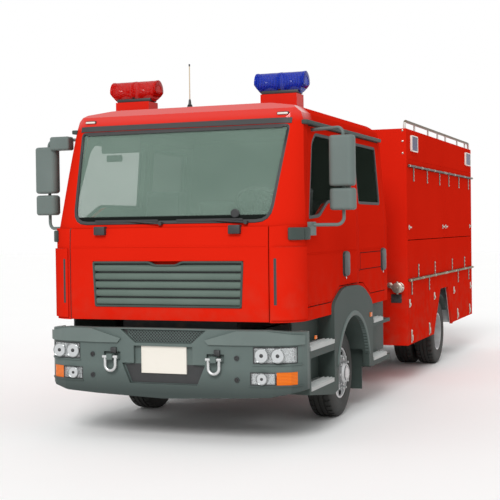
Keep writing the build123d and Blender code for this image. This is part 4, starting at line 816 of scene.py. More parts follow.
def tyre(x, station):
    """Tyre with every third field of its shoulders cut in."""
    centre = at(x, station, AXLE_HEIGHT)

    def in_cut(middle, normal):
        arm = middle - centre
        turn = math.degrees(math.atan2(arm.z, arm.y)) % 360
        on_shoulder = 0.053 < abs(arm.x) < 0.1005 and math.hypot(arm.y, arm.z) > 0.38
        return on_shoulder and int(turn / (360 / TYRE_SIDES)) % 3 == 0

    piece = turned("tyre", centre, "X", TYRE_RINGS, TYRE_SIDES, ring_shaped=True, sharp=50)
    with editing(piece):
        pick(piece, in_cut)
        bpy.ops.mesh.extrude_region_shrink_fatten(TRANSFORM_OT_shrink_fatten={"value": -CUT_DEPTH})
    smooth(piece, 50)
    return piece


for node, (x, station, body) in TYRES.items():
    for side, sign in (("left", 1), ("right", -1)):
        pieces = [tyre(sign * x, station)]
        if node == "tyres_rear":
            pieces.append(tyre(sign * INNER_TWIN, station))
        made = joined(f"{node}_{side}_treaded", pieces)
        fit(tyre_rubber, "tyre_rubber", made, body=f"{body}_{side}")
        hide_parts(f"{node}_{side}")


# Rims
# Pressed steel rims in silver enamel with ten nuts. The front hub stands out of its nut ring, the rear
# rims are dished. In each disc, dark plugs stand for the hand holes, their darkness painted shade.
NUT = ((-0.004, 0.0165), (0.016, 0.0165), (0.018, 0.011), (0.034, 0.0105), (0.036, 0.007))
HOLE = ((-0.012, 0.0235), (0.006, 0.0235), (0.006, 0.019), (0, 0.017))
HUB_CAP = ((-0.03, 0.072), (-0.004, 0.071), (0, 0.066), (0, 0.050), (-0.012, 0.046), (-0.012, 0.020),
           (-0.002, 0.012))
# Each rim's middle and station, how far out its nuts, holes and hub cap begin, and the circle of its holes.
RIMS = {"wheel_front": (0.905, FRONT_AXLE, 0.1125, 0.084, 0.1705, 0.187),
        "wheels_rear": (0.8115, REAR_AXLE, 0.014, 0.026, 0.110, 0.186)}
NUT_CIRCLE, NUTS, HOLES, FIRST_HOLE = 0.145, 10, 8, 0.2

silver = mottled("rim_silver", (0.42, 0.44, 0.43), 0.38, (11.0, 5.0), (0.40, 0.40, 0.40), (0.72, 0.73, 0.74),
                 (0.25, 0.22), (90.0, 3.0, 0.0003), metallic=0.5)
# The hand holes are dark plugs: their colour is painted shade in the holes, mottled a little.
dark_hole = Finish("hand_hole", (0.008, 0.008, 0.009), 0.8)
hole_shade_mottle = dark_hole.noise(20.0)
dark_hole.set("Base Color", dark_hole.blend(hole_shade_mottle, (0.005, 0.005, 0.006), (0.02, 0.019, 0.018)))
dress(silver, *[nodes[f"{rims}_{side}"] for rims in ("rim_front", "rims_rear") for side in ("left", "right")])


def outwards(sign, start, rings):
    """Rings of a turned piece that begins at a distance from the middle and points away from it."""
    return [(sign * (start + offset), radius) for offset, radius in rings]


def ring_of(name, centre, rings, sides, count, radius, start=0.0):
    """Copies of one small turned piece set evenly round a wheel's axis."""
    first = turned("first", centre + Vector((0, radius, 0)), "X", rings, sides)
    copies = []
    for number in range(count):
        turn = Matrix.Rotation(start + 2 * math.pi * number / count, 4, "X")
        one = copied(name, first)
        one.data.transform(Matrix.Translation(centre) @ turn @ Matrix.Translation(-centre))
        copies.append(one)
    bpy.data.objects.remove(first)
    return joined(name, copies)


for side, sign in (("left", 1), ("right", -1)):
    for wheel, (x, station, face, disc, reach, hole_circle) in RIMS.items():
        centre, tag = at(sign * x, station, AXLE_HEIGHT), f"{wheel}_{side}"
        nut, hole = outwards(sign, face, NUT), outwards(sign, disc, HOLE)
        nuts = ring_of(f"wheel_nuts_{tag}", centre, nut, 6, NUTS, NUT_CIRCLE)
        holes = ring_of(f"hand_holes_{tag}", centre, hole, 20, HOLES, hole_circle, FIRST_HOLE)
        cap = turned(f"hub_cap_{tag}", centre, "X", outwards(sign, reach, HUB_CAP), 40)
        for finish, piece in ((galvanised, nuts), (dark_hole, holes), (black_plastic, cap)):
            fit(finish, "rim_silver", piece, body=tag)


# Shackle brackets and arch lips
# A dark bracket is screwed on over each tow shackle, and a moulded lip stands out round each front wheel
# arch, cut off level above the sill.
ARCH_LIP = [(1.112, 0.520), (1.150, 0.520), (1.154, 0.526), (1.154, 0.556), (1.146, 0.564), (1.112, 0.564)]
brackets = [slab("bracket", at(x, -0.022, 0.716), at(x + 0.052, 0.004, 0.766), 0.006)
            for x in (-0.466, 0.454)]
fit(black_plastic, "black_plastic", joined("shackle_brackets", brackets))
arch_lip = turned("arch_lip_left", at(0, FRONT_AXLE, 0.4045), "X", ARCH_LIP, 96, ring_shaped=True)
with editing(arch_lip):
    cut(((at(0, 0, 0.52), (0, 0, -1)),), fill=True)
fit_pair(grey_plastic, "black_plastic", arch_lip)


# Roof lamps
# Two capsule beacons of ribbed plastic on red pedestals, each with bright reflectors inside, a dark base
# tray and end caps. Pill-shaped markers sit on the roof's front edge, and a whip aerial on its cone.
BEACON_X, BEACON_STATION, BEACON_AXIS, BEACON_RADIUS, BEACON_HALF = 0.700, 1.010, 2.982, 0.092, 0.222
TAPER_DROP, TAPER_LENGTH = 0.012, 0.048
AERIAL_X, AERIAL_STATION = -0.160, 0.980
END_CAP = ((-0.020, 0.0925), (-0.016, 0.0945), (0.001, 0.0945), (0.004, 0.089), (0.004, 0.052),
           (-0.004, 0.046))
MIDDLE_BAND = [(-0.012, 0.0925), (-0.010, 0.0942), (0.010, 0.0942), (0.012, 0.0925)]
REFLECTOR = [(-0.075, 0.066), (-0.03, 0.040), (0.0, 0.032), (0.03, 0.040), (0.075, 0.066)]
TRAY_BOLT = [(-0.105, 0.009), (-0.097, 0.009), (-0.095, 0.006)]


def lens(name, tone_low, tone_high):
    """Coloured ribbed plastic that lets the parts behind it show through a little."""
    finish = Finish(name, tone_low, 0.12, specular=0.10)
    ribs = finish.wave("X", 22.0)
    finish.set("Base Color", finish.blend(ribs, tone_low, tone_high))
    finish.set("Alpha", ribs * 0.08 + 0.80)
    finish.bump(ribs, 0.0006)
    return finish


# The strobes on the body are of a darker blue than the beacon.
red_lens = lens("red_lens", (0.34, 0.004, 0.003), (0.60, 0.009, 0.006))
blue_lens = lens("blue_lens", (0.004, 0.012, 0.20), (0.012, 0.040, 0.46))
on_body = blue_lens.axis("Y").above(-2.0, -1.9)
blue_lens.tint(on_body, (0.004, 0.010, 0.120))
dress(red_lens, nodes["lamps_red"])
dress(blue_lens, nodes["lamps_blue"])

# The pedestals are red, the aerial's foot between them is black and its whip is brass.
fitting_paint = Finish("fitting_paint", RED, 0.35, specular=0.10)
mid_roof = 1.0 - fitting_paint.axis("X").math("ABSOLUTE").above(0.40, 0.41)
whip = mid_roof * fitting_paint.axis("Z").above(2.836, 2.838)
aerial_foot = mid_roof * (1.0 - whip)
patches = fitting_paint.blend(fitting_paint.noise(3.0), DEEP_RED, RED)
below_whip = fitting_paint.blend(aerial_foot, patches, (0.02, 0.02, 0.02))
fitting_paint.set("Base Color", fitting_paint.blend(whip, below_whip, (0.55, 0.50, 0.36)))
fitting_paint.set("Roughness", fitting_paint.noise(8.0) * 0.2 + 0.25)
dress(fitting_paint, nodes["roof_fittings"])

for side, colour, finish in ((-1, "red", red_lens), (1, "blue", blue_lens)):
    centre = at(side * BEACON_X, BEACON_STATION, BEACON_AXIS)
    caps = [turned("cap", centre, "X", outwards(end, BEACON_HALF, END_CAP), 40) for end in (-1, 1)]
    caps.append(turned("cap", centre, "X", MIDDLE_BAND, 40, ring_shaped=True))
    # The lower part of both ends is cut away, as on the lens inside.
    for cap in caps:
        with editing(cap):
            cut([(centre + Vector((way * (BEACON_HALF + 0.003), 0, -TAPER_DROP)),
                  (way * (BEACON_RADIUS - TAPER_DROP), 0, -TAPER_LENGTH)) for way in (-1, 1)], fill=True)
    caps.append(slab("tray", centre + Vector((-0.168, -0.066, -BEACON_RADIUS - 0.004)),
                     centre + Vector((0.168, 0.066, -BEACON_RADIUS * 0.72)), 0.006))
    for x in (-0.125, 0.125):
        for y in (-0.062, 0.062):
            caps.append(turned("bolt", centre + Vector((x, y, 0)), "Z", TRAY_BOLT, 6))
    caps = joined(f"beacon_caps_{colour}", caps)
    fit(finish, f"{colour}_lens", caps)
    caps.data.materials.append(black_plastic.material)
    for face in caps.data.polygons:
        if face.center.z < BEACON_AXIS - 0.060 and abs(face.center.x - centre.x) < 0.172:
            face.material_index = 1
    mirrors = [turned("mirror", centre + Vector((end * 0.112, 0, 0)), "X", REFLECTOR, 24) for end in (-1, 1)]
    fit(bright, "bright_steel", joined(f"beacon_reflectors_{colour}", mirrors))

markers, holders = [], []
for x in (-0.888, 0.888):
    markers.append(slab("marker", at(x - 0.047, 0.470, 2.658), at(x + 0.047, 0.520, 2.676), 0.008, 3))
    holders.append(slab("rim", at(x - 0.053, 0.474, 2.652), at(x + 0.053, 0.520, 2.682), 0.013, 4))
fit(plate_white, "clear_lens", joined("roof_markers", markers))
fit(rubber, "black_plastic", joined("roof_marker_rims", holders))
CONE = [(-0.004, 0.040), (0.008, 0.040), (0.014, 0.030), (0.048, 0.0135), (0.075, 0.011), (0.090, 0.0075)]
TIP = [(-0.012, 0.0065), (0.004, 0.0075), (0.008, 0.004)]
for name, height, profile, sides in (("aerial_base", 2.795, CONE, 24), ("aerial_tip", 3.19, TIP, 12)):
    piece = turned(name, at(AERIAL_X, AERIAL_STATION, height), "Z", profile, sides)
    fit(black_plastic, "black_plastic", piece)


# Cab sides
# Pressed steel doors with a rib along them and a shallow frame between the handles. Black pull handles in
# oval plates, a drip rail over both doors and a plastic corner piece at the foot of each windscreen pillar.
RIB_HEIGHT, HANDLE_HEIGHT, RIB_OUT, FRAME_OUT = 1.50, 1.400, 0.004, 0.003
# Each door's handle station and half width, and its ribs as heights, stations and how far they stand out.
FRAME_LOW, FRAME_HIGH, FRAME_FIRST, FRAME_LAST, FRAME_RIB = 1.325, 1.488, 1.962, 2.740, 0.006
DOORS = {
    "door_front": (1.480, 0.0855, ((RIB_HEIGHT + 0.012, RIB_HEIGHT + 0.020, 0.372, 1.835, RIB_OUT),
                                   (1.098, 1.106, 0.372, 1.02, RIB_OUT))),
    "door_rear": (2.8225, 0.078, ((RIB_HEIGHT + 0.012, RIB_HEIGHT + 0.020, 1.945, 2.880, RIB_OUT),
                                  (FRAME_LOW, FRAME_LOW + FRAME_RIB, FRAME_FIRST, FRAME_LAST, FRAME_OUT),
                                  (FRAME_HIGH - FRAME_RIB, FRAME_HIGH, FRAME_FIRST, FRAME_LAST, FRAME_OUT),
                                  (FRAME_LOW, FRAME_HIGH, FRAME_FIRST, FRAME_FIRST + FRAME_RIB, FRAME_OUT),
                                  (FRAME_LOW, FRAME_HIGH, FRAME_LAST - FRAME_RIB, FRAME_LAST, FRAME_OUT)))}
LOCK = [(0, 0.011), (0.004, 0.011), (0.005, 0.009), (0.003, 0.004)]
SIDE_VIEW, INWARDS = (math.pi / 2, 0, math.pi / 2), (-1, 0, 0)


def handle_plate(name, station, half_length, half_height, corner, thickness):
    """Upright plate with rounded corners on a door's outer face."""
    spots = [at(CAB_HALF, station + a * half_length, HANDLE_HEIGHT + b * half_height)
             for a, b in ((-1, -1), (1, -1), (1, 1), (-1, 1))]
    return thickened(blank(name, spots, corner, 6), (thickness, 0, 0), min(thickness / 3, 0.003))


def rib(node, low, high, first, last, out):
    """Narrow rib pressed along a door between two heights and two stations."""
    middle = at(1.5, (first + last) / 2, (low + high) / 2)
    sheet = strip("rib", middle, last - first, high - low, 24, 1, SIDE_VIEW)
    laid_on(sheet, node, INWARDS, out)
    apply(sheet, "BEVEL", width=min(out, high - low) * 0.6, segments=2)
    smooth(sheet, 60)
    return sheet


for door, (station, half, ribs) in DOORS.items():
    body = f"{door}_left"
    rim = handle_plate(f"{door}_handle_rim_left", station, half + 0.008, 0.113, 0.045, 0.005)
    case = handle_plate(f"{door}_handle_case_left", station, half, 0.105, 0.038, 0.0195)
    ribs = joined(f"{door}_ribs_left", [rib(body, *sizes) for sizes in ribs])
    lock = turned(f"{door}_lock_left", at(CAB_HALF, station + 0.01, 1.275), "X", LOCK, 16)
    fit_pair(fender_plastic, "black_plastic", rim, body=body)
    fit_pair(black_plastic, "black_plastic", case, body=body)
    fit_pair(bright, "bright_steel", lock, body=body)
    fit_pair(cab_paint, "red_paint", ribs, body=body)

# The corner piece follows the cab's rounded corner, in two parts with a joint between them.
CORNER_X, CORNER_STATION, CORNER_FOOT, CORNER_RISE = 0.87, 0.34, 1.632, 0.100
drip = slab("drip_rail_left", at(1.038, 0.505, 2.577), at(1.092, 2.925, 2.612), 0.008, 3)
corners = []
for first, last in ((-14, 13), (15, 50)):
    arcs = [(0.276, math.radians(turn)) for turn in range(first, last + 1, 5)]
    arcs += [(0.246, math.radians(turn)) for turn in range(last, first - 1, -5)]
    outline = [at(CORNER_X + radius * math.cos(turn), CORNER_STATION - radius * math.sin(turn), CORNER_FOOT)
               for radius, turn in arcs]
    corners.append(thickened(blank("foot", outline), (0, 0, CORNER_RISE), 0.012, 4))
corner = joined("pillar_foot_left", corners)
slot_behind = strip("corner_slot_left", at(0.944, -0.4, 1.305), 0.022, 0.370, 2, 12, FRONT_VIEW)
laid_on(slot_behind, "cab_shell", REARWARDS, 0.0012)
apply(slot_behind, "BEVEL", width=0.0008, segments=1)
panel = slab("crew_step_panel_left", at(1.058, 2.300, 0.480), at(1.072, 3.005, 0.974), 0.004)
mark = slab("fender_mark_left", at(1.139, 0.470, 0.820), at(1.1485, 0.520, 0.850), 0.003)
fit_pair(fender_plastic, "black_plastic", drip, panel, corner)
fit_pair(black_plastic, "black_plastic", slot_behind)
fit_pair(amber, "amber_lens", mark)


# Screen cap, sun visor and inner mirror
# Black plastic: a round cap on the screen over the wiper, and what hangs behind the glass on the crew's side.
DISC = [(0.0, 0.036), (-0.012, 0.038), (-0.018, 0.030)]
disc = turned("screen_disc", at(0.58, 0.178, 1.850), "Y", DISC, 32)
visor = slab("sun_visor", at(-0.80, 0.50, 2.395), at(-0.42, 0.53, 2.535), 0.012, 3)
inner_mirror = slab("inner_mirror", at(-0.70, 0.40, 2.315), at(-0.55, 0.425, 2.372), 0.012, 3)
fit(black_plastic, "black_plastic", disc, visor, inner_mirror)


# Mirror glasses
# Silvered glass in the rear of each housing, held in a black frame that is clipped into the housing.
MIRROR_INNER, MIRROR_OUTER, FRAME_LIP = 1.280, 1.458, 0.007
silvered = Finish("mirror_glass", (0.82, 0.84, 0.85), 0.03, metallic=1.0)
silvered.set("Roughness", silvered.noise(3.0) * 0.03 + 0.015)
for side, sign in (("left", 1), ("right", -1)):
    panes, frames = [], []
    first, last = sorted((sign * MIRROR_INNER, sign * MIRROR_OUTER))
    for low, high in ((2.080, 2.456), (1.886, 2.028)):
        frames.append(slab("frame", at(first, 0.590, low), at(last, 0.6115, high), 0.004))
        panes.append(slab("pane", at(first + FRAME_LIP, 0.6100, low + FRAME_LIP),
                          at(last - FRAME_LIP, 0.6130, high - FRAME_LIP), 0.001))
    fit(silvered, "glass", joined(f"mirror_panes_{side}", panes), body=f"door_front_{side}")
    fit(black_plastic, "black_plastic", joined(f"mirror_frames_{side}", frames), body=f"door_front_{side}")


# Steps
# Punched aluminium treads, with rows of teeth that stand up along the outer edge for grip.
TREADS = ((0.350, 1.010, 0.770), (0.360, 0.990, 0.444), (2.345, 2.700, 0.832), (2.335, 2.840, 0.470))
FIRST_ROW, ROW_PITCH, TOOTH_PITCH, TREAD_END = 1.134, 0.034, 0.030, 0.02

tread_metal = Finish("tread_metal", (0.45, 0.47, 0.46), 0.45, metallic=0.3)
scrapes = tread_metal.noise(9.0, 5.0, (1, 0.25, 1))
tread_metal.set("Base Color", tread_metal.blend(scrapes, (0.26, 0.28, 0.27), (0.50, 0.52, 0.51)))
tread_metal.set("Roughness", scrapes * 0.3 + 0.25)
tread_metal.bump(scrapes, 0.0006)
dress(tread_metal, nodes["step_treads"])

teeth = []
tooth = turned("tooth", at(0, 0, 0), "Z", [(-0.001, 0.0125), (0.011, 0.0035)], 4)
for first, last, top in TREADS:
    for number in range(int((last - first - TREAD_END) / TOOTH_PITCH)):
        for row in range(3):
            station = first + TREAD_END + TOOTH_PITCH * (number + 0.5 * (row % 2))
            teeth.append(copied("tooth", tooth, (FIRST_ROW - ROW_PITCH * row, station, top)))
bpy.data.objects.remove(tooth)
fit_pair(tread_metal, "bright_steel", joined("step_teeth_left", teeth))


# Locker flaps
# Each flap hangs on strap hinges that turn on a rail. The straps are screwed on with domed bolts. T-handles
# on the upper flaps, small pulls on the lower ones and toggle latches on the skirts hold them shut.
STRAP_FACE, HANDLE_Z, PULL_Z, LATCH_RISE = 1.146, 1.713, 0.880, 0.6
# Each flap's ends, where its straps lie between them, and the heights of a strap's bolts.
FLAPS = {"upper_flap_front": (3.882, 5.906, (0.142, 0.498, 0.857), (2.335, 2.285, 2.235)),
         "upper_flap_rear": (5.914, 7.808, (0.154, 0.523, 0.903), (2.335, 2.285, 2.235)),
         "lower_flap": (3.882, 7.808, (0.1256, 0.3584, 0.6381, 0.8637), (1.185, 1.235, 1.282)),
         "skirt_flap_front": (3.882, 5.351, (0.101, 0.728), (1.085, 1.035, 0.985)),
         "skirt_flap_rear": (6.409, 7.808, (0.272, 0.842), (1.085, 1.035, 0.985))}
T_HANDLES = {"upper_flap_front": (3.935, 5.800), "upper_flap_rear": (5.986, 7.721)}
PULLS = {"skirt_flap_front": (3.93, 5.255), "skirt_flap_rear": (6.505, 7.735)}
LATCHES = {"skirt_flap_front": ((4.004, 0.440, 0.585), (4.945, 0.440, 0.585)),
           "skirt_flap_rear": ((6.737, 0.485, 0.625), (7.65, 0.485, 0.625))}
LOCK_PLATE = [(0, 0.028), (0.003, 0.028), (0.004, 0.025), (0.004, 0.012), (0.016, 0.011)]


def bolts(spots, radius=0.0115):
    dome = [(0, radius), (0.003, radius), (0.0055, radius * 0.55)]
    return [turned("bolt", at(x, y, z), "X", dome, 8) for x, y, z in spots]


def block(name, station, half, low, high, inner, outer, edge):
    """Block on a flap, between two heights and two distances from its face."""
    corner = at(BODY_HALF + outer, station + half, high)
    return slab(name, at(BODY_HALF + inner, station - half, low), corner, edge)


def t_handle(station):
    """Round lock plate with a bar across it."""
    return [turned("plate", at(BODY_HALF, station, HANDLE_Z), "X", LOCK_PLATE, 24),
            block("bar", station, 0.045, HANDLE_Z - 0.009, HANDLE_Z + 0.009, 0.010, 0.022, 0.004)]


def pull(station):
    """Small drop handle in a pressed plate."""
    return [block("plate", station, 0.030, PULL_Z - 0.045, PULL_Z + 0.045, 0, 0.003, 0.0012),
            block("grip", station, 0.020, PULL_Z - 0.030, PULL_Z + 0.004, 0.003, 0.014, 0.004)]


def toggle(station, low, high):
    """Over-centre latch: a base plate, a lever, and the hook that it draws down."""
    joint = low + (high - low) * LATCH_RISE
    return [block("base", station, 0.020, low, high, 0, 0.004, 0.0015),
            block("lever", station, 0.013, low + 0.02, joint, 0.004, 0.018, 0.004),
            block("hook", station, 0.007, joint, high - 0.006, 0.004, 0.011, 0.002),
            *bolts([(BODY_HALF + 0.004, station + dy, high - 0.012) for dy in (-0.013, 0.013)], 0.004)]


worn_steel = mottled("worn_steel", (0.66, 0.64, 0.58), 0.36, (12.0, 5.0), (0.26, 0.24, 0.18),
                     (0.62, 0.60, 0.54), (0.3, 0.22), metallic=0.8)
for flap, (first, last, shares, heights) in FLAPS.items():
    pieces = bolts([(STRAP_FACE, first + share * (last - first), z) for share in shares for z in heights])
    for station in T_HANDLES.get(flap, ()):
        pieces += t_handle(station)
    for station in PULLS.get(flap, ()):
        pieces += pull(station)
    for latch in LATCHES.get(flap, ()):
        pieces += toggle(*latch)
    fit_pair(worn_steel, "bright_steel", joined(f"{flap}_fittings_left", pieces), body=f"{flap}_left")


# Rails, ladder and side seam
# The upper hinge rail is dark and carries bright clamps, the lower one is dull brass. The roof rail is a
# brown tube on pale posts. A seam crosses the body's side above the upper rail.
CLAMP = [(-0.014, 0.0125), (-0.012, 0.0148), (0.012, 0.0148), (0.014, 0.0125)]
rail_finish = Finish("rail_steel", (0.05, 0.05, 0.045), 0.4, metallic=0.2, specular=0.3)
brassy = 1.0 - rail_finish.axis("Z").above(1.30, 1.32)
mottle = rail_finish.noise(16.0, 5.0)
dark_steel = rail_finish.blend(mottle, (0.03, 0.028, 0.025), (0.10, 0.09, 0.075))
dull_brass = rail_finish.blend(mottle, (0.085, 0.080, 0.030), (0.21, 0.19, 0.085))
rail_finish.set("Base Color", rail_finish.blend(brassy, dark_steel, dull_brass))
rail_finish.set("Roughness", mottle * 0.3 + 0.3)
dress(rail_finish, nodes["hinge_rails"])
top_rail = Finish("top_rail", (0.5, 0.5, 0.48), 0.5, specular=0.15)
aged = top_rail.noise(10.0, 4.0)
tube = top_rail.blend(aged, (0.06, 0.04, 0.02), (0.17, 0.12, 0.07))
top_rail.set("Base Color", top_rail.blend(top_rail.axis("Z").above(2.858, 2.864), (0.58, 0.57, 0.53), tube))
top_rail.set("Roughness", aged * 0.3 + 0.25)
dress(top_rail, nodes["roof_rail"])
dress(galvanised, nodes["ladder"])

clamps = [turned("clamp", at(1.156, station, height), "Y", CLAMP, 16)
          for station in (3.905, 4.55, 5.25, 5.86, 5.96, 6.55, 7.25, 7.86) for height in (2.387, 1.133)]
fit_pair(worn_steel, "bright_steel", joined("rail_clamps_left", clamps))
seam = slab("side_seam_left", at(1.139, 3.850, 2.461), at(1.1422, 7.840, 2.467), 0.001)
fit_pair(body_paint, "red_paint", seam)


# Body front, strobes and rear
# Riveted front wall with a water inlet behind the cab, white bezels round the blue strobes, and at the back
# the door's bar handle, its hinges and lamps in dark rubber holders.
STROBES, STROBE_LOW, STROBE_HIGH, BEZEL_MARGIN = ((4.034, 4.316), (7.375, 7.722)), 2.551, 2.729, 0.009
RIVET = [(0, 0.012), (-0.004, 0.011), (-0.006, 0.005)]
bezels = []
for first, last in STROBES:
    corners = [at(BODY_HALF + 0.012, y, z) for y, z in
               ((first - BEZEL_MARGIN, STROBE_LOW), (last + BEZEL_MARGIN, STROBE_LOW),
                (last + BEZEL_MARGIN, STROBE_HIGH), (first - BEZEL_MARGIN, STROBE_HIGH))]
    bezel = opened(blank("bezel", corners, 0.02), 0.012)
    apply(bezel, "SOLIDIFY", thickness=0.022, offset=0)
    apply(bezel, "BEVEL", width=0.0015, segments=2)
    bezels.append(bezel)
rivets = [turned("rivet", at(1.100, BODY_FRONT, height), "Y", RIVET, 12) for height in (2.768, 2.651, 2.521)]
fit_pair(plate_white, "plate_white", joined("strobe_bezels_left", bezels))
fit_pair(worn_steel, "bright_steel", joined("front_rivets_left", rivets))

# The inlet has a flange with six studs, two lugs on its cap, and a drain valve with a lever beside it.
INLET_X, INLET_Z, STUDS, STUD_CIRCLE, FIRST_STUD = 1.045, 1.058, 6, 0.054, 15
INLET = [(0, 0.060), (-0.012, 0.060), (-0.014, 0.052), (-0.060, 0.050), (-0.064, 0.058), (-0.096, 0.058),
         (-0.100, 0.050), (-0.100, 0.014), (-0.115, 0.012)]
VALVE = [(0, 0.022), (-0.040, 0.022), (-0.044, 0.030), (-0.060, 0.030), (-0.064, 0.020)]
STUD = [(0.0, 0.008), (-0.014, 0.008), (-0.018, 0.005)]
inlet = [turned("inlet", at(INLET_X, BODY_FRONT, INLET_Z), "Y", INLET, 28)]
for wide, tall in ((0.07, 0.01), (0.01, 0.07)):
    low, high = at(INLET_X - wide, 3.742, INLET_Z - tall), at(INLET_X + wide, 3.758, INLET_Z + tall)
    inlet.append(slab("lug", low, high, 0.004))
for number in range(STUDS):
    turn = math.radians(360 / STUDS * number + FIRST_STUD)
    spot = at(INLET_X + STUD_CIRCLE * math.cos(turn), 3.816, INLET_Z + STUD_CIRCLE * math.sin(turn))
    inlet.append(turned("stud", spot, "Y", STUD, 6))
inlet.append(turned("valve", at(0.955, BODY_FRONT, 1.085), "Y", VALVE, 20))
inlet.append(slab("lever", at(0.925, 3.752, 1.076), at(0.995, 3.762, 1.094), 0.004))
fit(worn_steel, "bright_steel", joined("water_inlet", inlet))
fit(rubber, "black_plastic", slab("inlet_well", at(0.955, 3.822, 0.890), at(1.075, 3.832, 0.985), 0.006))

REAR_BOLT = [(0, 0.010), (0.004, 0.009), (0.006, 0.005)]
rear_parts = [slab("bar", at(-0.55, 7.905, 1.62), at(-0.51, 7.925, 1.86), 0.009, 3)]
for z in (1.635, 1.823):
    rear_parts.append(slab("stand", at(-0.545, 7.888, z), at(-0.515, 7.912, z + 0.022), 0.003))
rear_parts += [turned("bolt", at(x, 7.891, z), "Y", REAR_BOLT, 8)
               for x in (-0.58, 0.58) for z in (1.22, 1.60, 2.00, 2.42)]
fit(worn_steel, "bright_steel", joined("rear_door_fittings", rear_parts), body="rear_door")
holders = []
for low, high in ((-1.136, -1.070), (1.070, 1.136)):
    holders.append(slab("holder", at(low, 7.858, 0.688), at(high, 7.876, 1.012), 0.006))
    for z in (0.795, 0.899):
        holders.append(slab("divider", at(low + 0.006, 7.876, z), at(high - 0.004, 7.893, z + 0.006), 0.002))
fit(rubber, "black_plastic", joined("rear_lamp_holders", holders))


# Frame, axles and springs
# Pressed and forged steel in thick black-grey chassis enamel, dulled by road dust and brown at the edges.
FRAME_NODES = ("chassis_rails", "cross_members", "drive_line", "front_axle", "knuckle_left", "knuckle_right",
               "rear_axle", "springs", "track_rod", "tanks")
frame_enamel = Finish("frame_enamel", (0.045, 0.046, 0.047), 0.5)
grime = frame_enamel.noise(7.0, 5.0)
rusty = grime.above(0.45, 0.75)
frame_enamel.set("Base Color", frame_enamel.blend(rusty, (0.036, 0.038, 0.040), (0.10, 0.085, 0.068)))
frame_enamel.set("Roughness", grime * 0.35 + 0.4)
frame_enamel.bump(frame_enamel.noise(150.0, 4.0), 0.0005)
dress(frame_enamel, *[nodes[name] for name in FRAME_NODES])


# Dashboard
# A padded moulding in grey vinyl across the cab, with a hood over round dials and round air vents, behind a
# black steering wheel on its column. A grab handle is screwed on before the crew's seat.
SOFT_GREY, SOFT_PALE = (0.085, 0.095, 0.090), (0.135, 0.150, 0.142)
DRIVER_X = 0.625
HOOD = ((0.330, 1.715), (0.330, 1.790), (0.455, 1.800), (0.462, 1.780), (0.400, 1.700))
GRAB = [(-0.004, 0.012), (0.080, 0.012), (0.086, 0.008)]
VENT = [(-0.004, 0.032), (0.008, 0.032), (0.008, 0.038), (-0.004, 0.038)]
vinyl = Finish("dash_vinyl", SOFT_GREY, 0.7, specular=0.2)
behind = vinyl.axis("Y").above(-3.425, -3.415)
moulding = vinyl.blend(vinyl.noise(5.0, 3.0), SOFT_GREY, SOFT_PALE)
vinyl.set("Base Color", vinyl.blend(behind, moulding, (0.02, 0.02, 0.02)))
vinyl.bump(vinyl.noise(420.0, 3.0), 0.0004)
dress(vinyl, nodes["dashboard"])

hood = blank("dial_hood", [at(DRIVER_X - 0.190, y, z) for y, z in HOOD])
thickened(hood, (0.380, 0, 0), 0.010, 3)
dials, rings = [], []
for shift, radius in ((-0.118, 0.030), (-0.042, 0.044), (0.052, 0.044), (0.128, 0.030)):
    spot = at(DRIVER_X + shift, 0.418, 1.745)
    ring = [(0.0, radius), (0.010, radius), (0.010, radius + 0.005), (0.0, radius + 0.005)]
    dials.append(turned("dial", spot, "Y", [(0.0, radius), (0.004, radius), (0.005, 0.004)], 28))
    rings.append(turned("ring", spot, "Y", ring, 28, ring_shaped=True))
for x in (-0.86, -0.34, 0.24, 0.94):
    rings.append(turned("vent", at(x, 0.486, 1.645), "Y", VENT, 24, ring_shaped=True))
    dials.append(slab("blade", at(x - 0.032, 0.482, 1.6425), at(x + 0.032, 0.494, 1.6475), 0.001))
dials.append(turned("grab_handle", at(-0.55, 0.500, 1.690), "Z", GRAB, 12))
fit(vinyl, "black_plastic", hood)
fit(black_plastic, "black_plastic", joined("dials", dials))
fit(chrome, "bright_steel", joined("dial_rings", rings))


# Seats
# Sprung seats in grey woven cloth. Each has a cushion and a back pad, blown up a little by their filling
# and drawn in at the corners, with piping sewn round them and a plastic base below.
SWELL_CAP, VOXEL, SIM_FRAMES, PIPING_RADIUS = 0.020, 0.009, 20, 0.0035
PAD_INSET, PIPING_INSET, BENCH_STEP, BENCH_PITCH = 0.020, 0.045, 1.330, 0.596
CUSHION = [(0.915, 1.395), (0.915, 1.500), (1.330, 1.488), (1.330, 1.385)]
BACK_REST = [(1.335, 1.420), (1.415, 2.120), (1.520, 2.120), (1.445, 1.400)]
BENCH_CUSHION = [(y + BENCH_STEP, z) for y, z in CUSHION]
BENCH_BACK = [(2.665, 1.420), (2.745, 2.050), (2.845, 2.050), (2.775, 1.400)]

seat_cloth = mottled("seat_cloth", (0.05, 0.055, 0.065), 0.9, (14.0, 5.0), (0.16, 0.18, 0.18),
                     (0.26, 0.28, 0.27), (0.15, 0.8))
seat_cloth.bump(seat_cloth.wave("X", 260.0) * seat_cloth.wave("Z", 260.0), 0.0008)


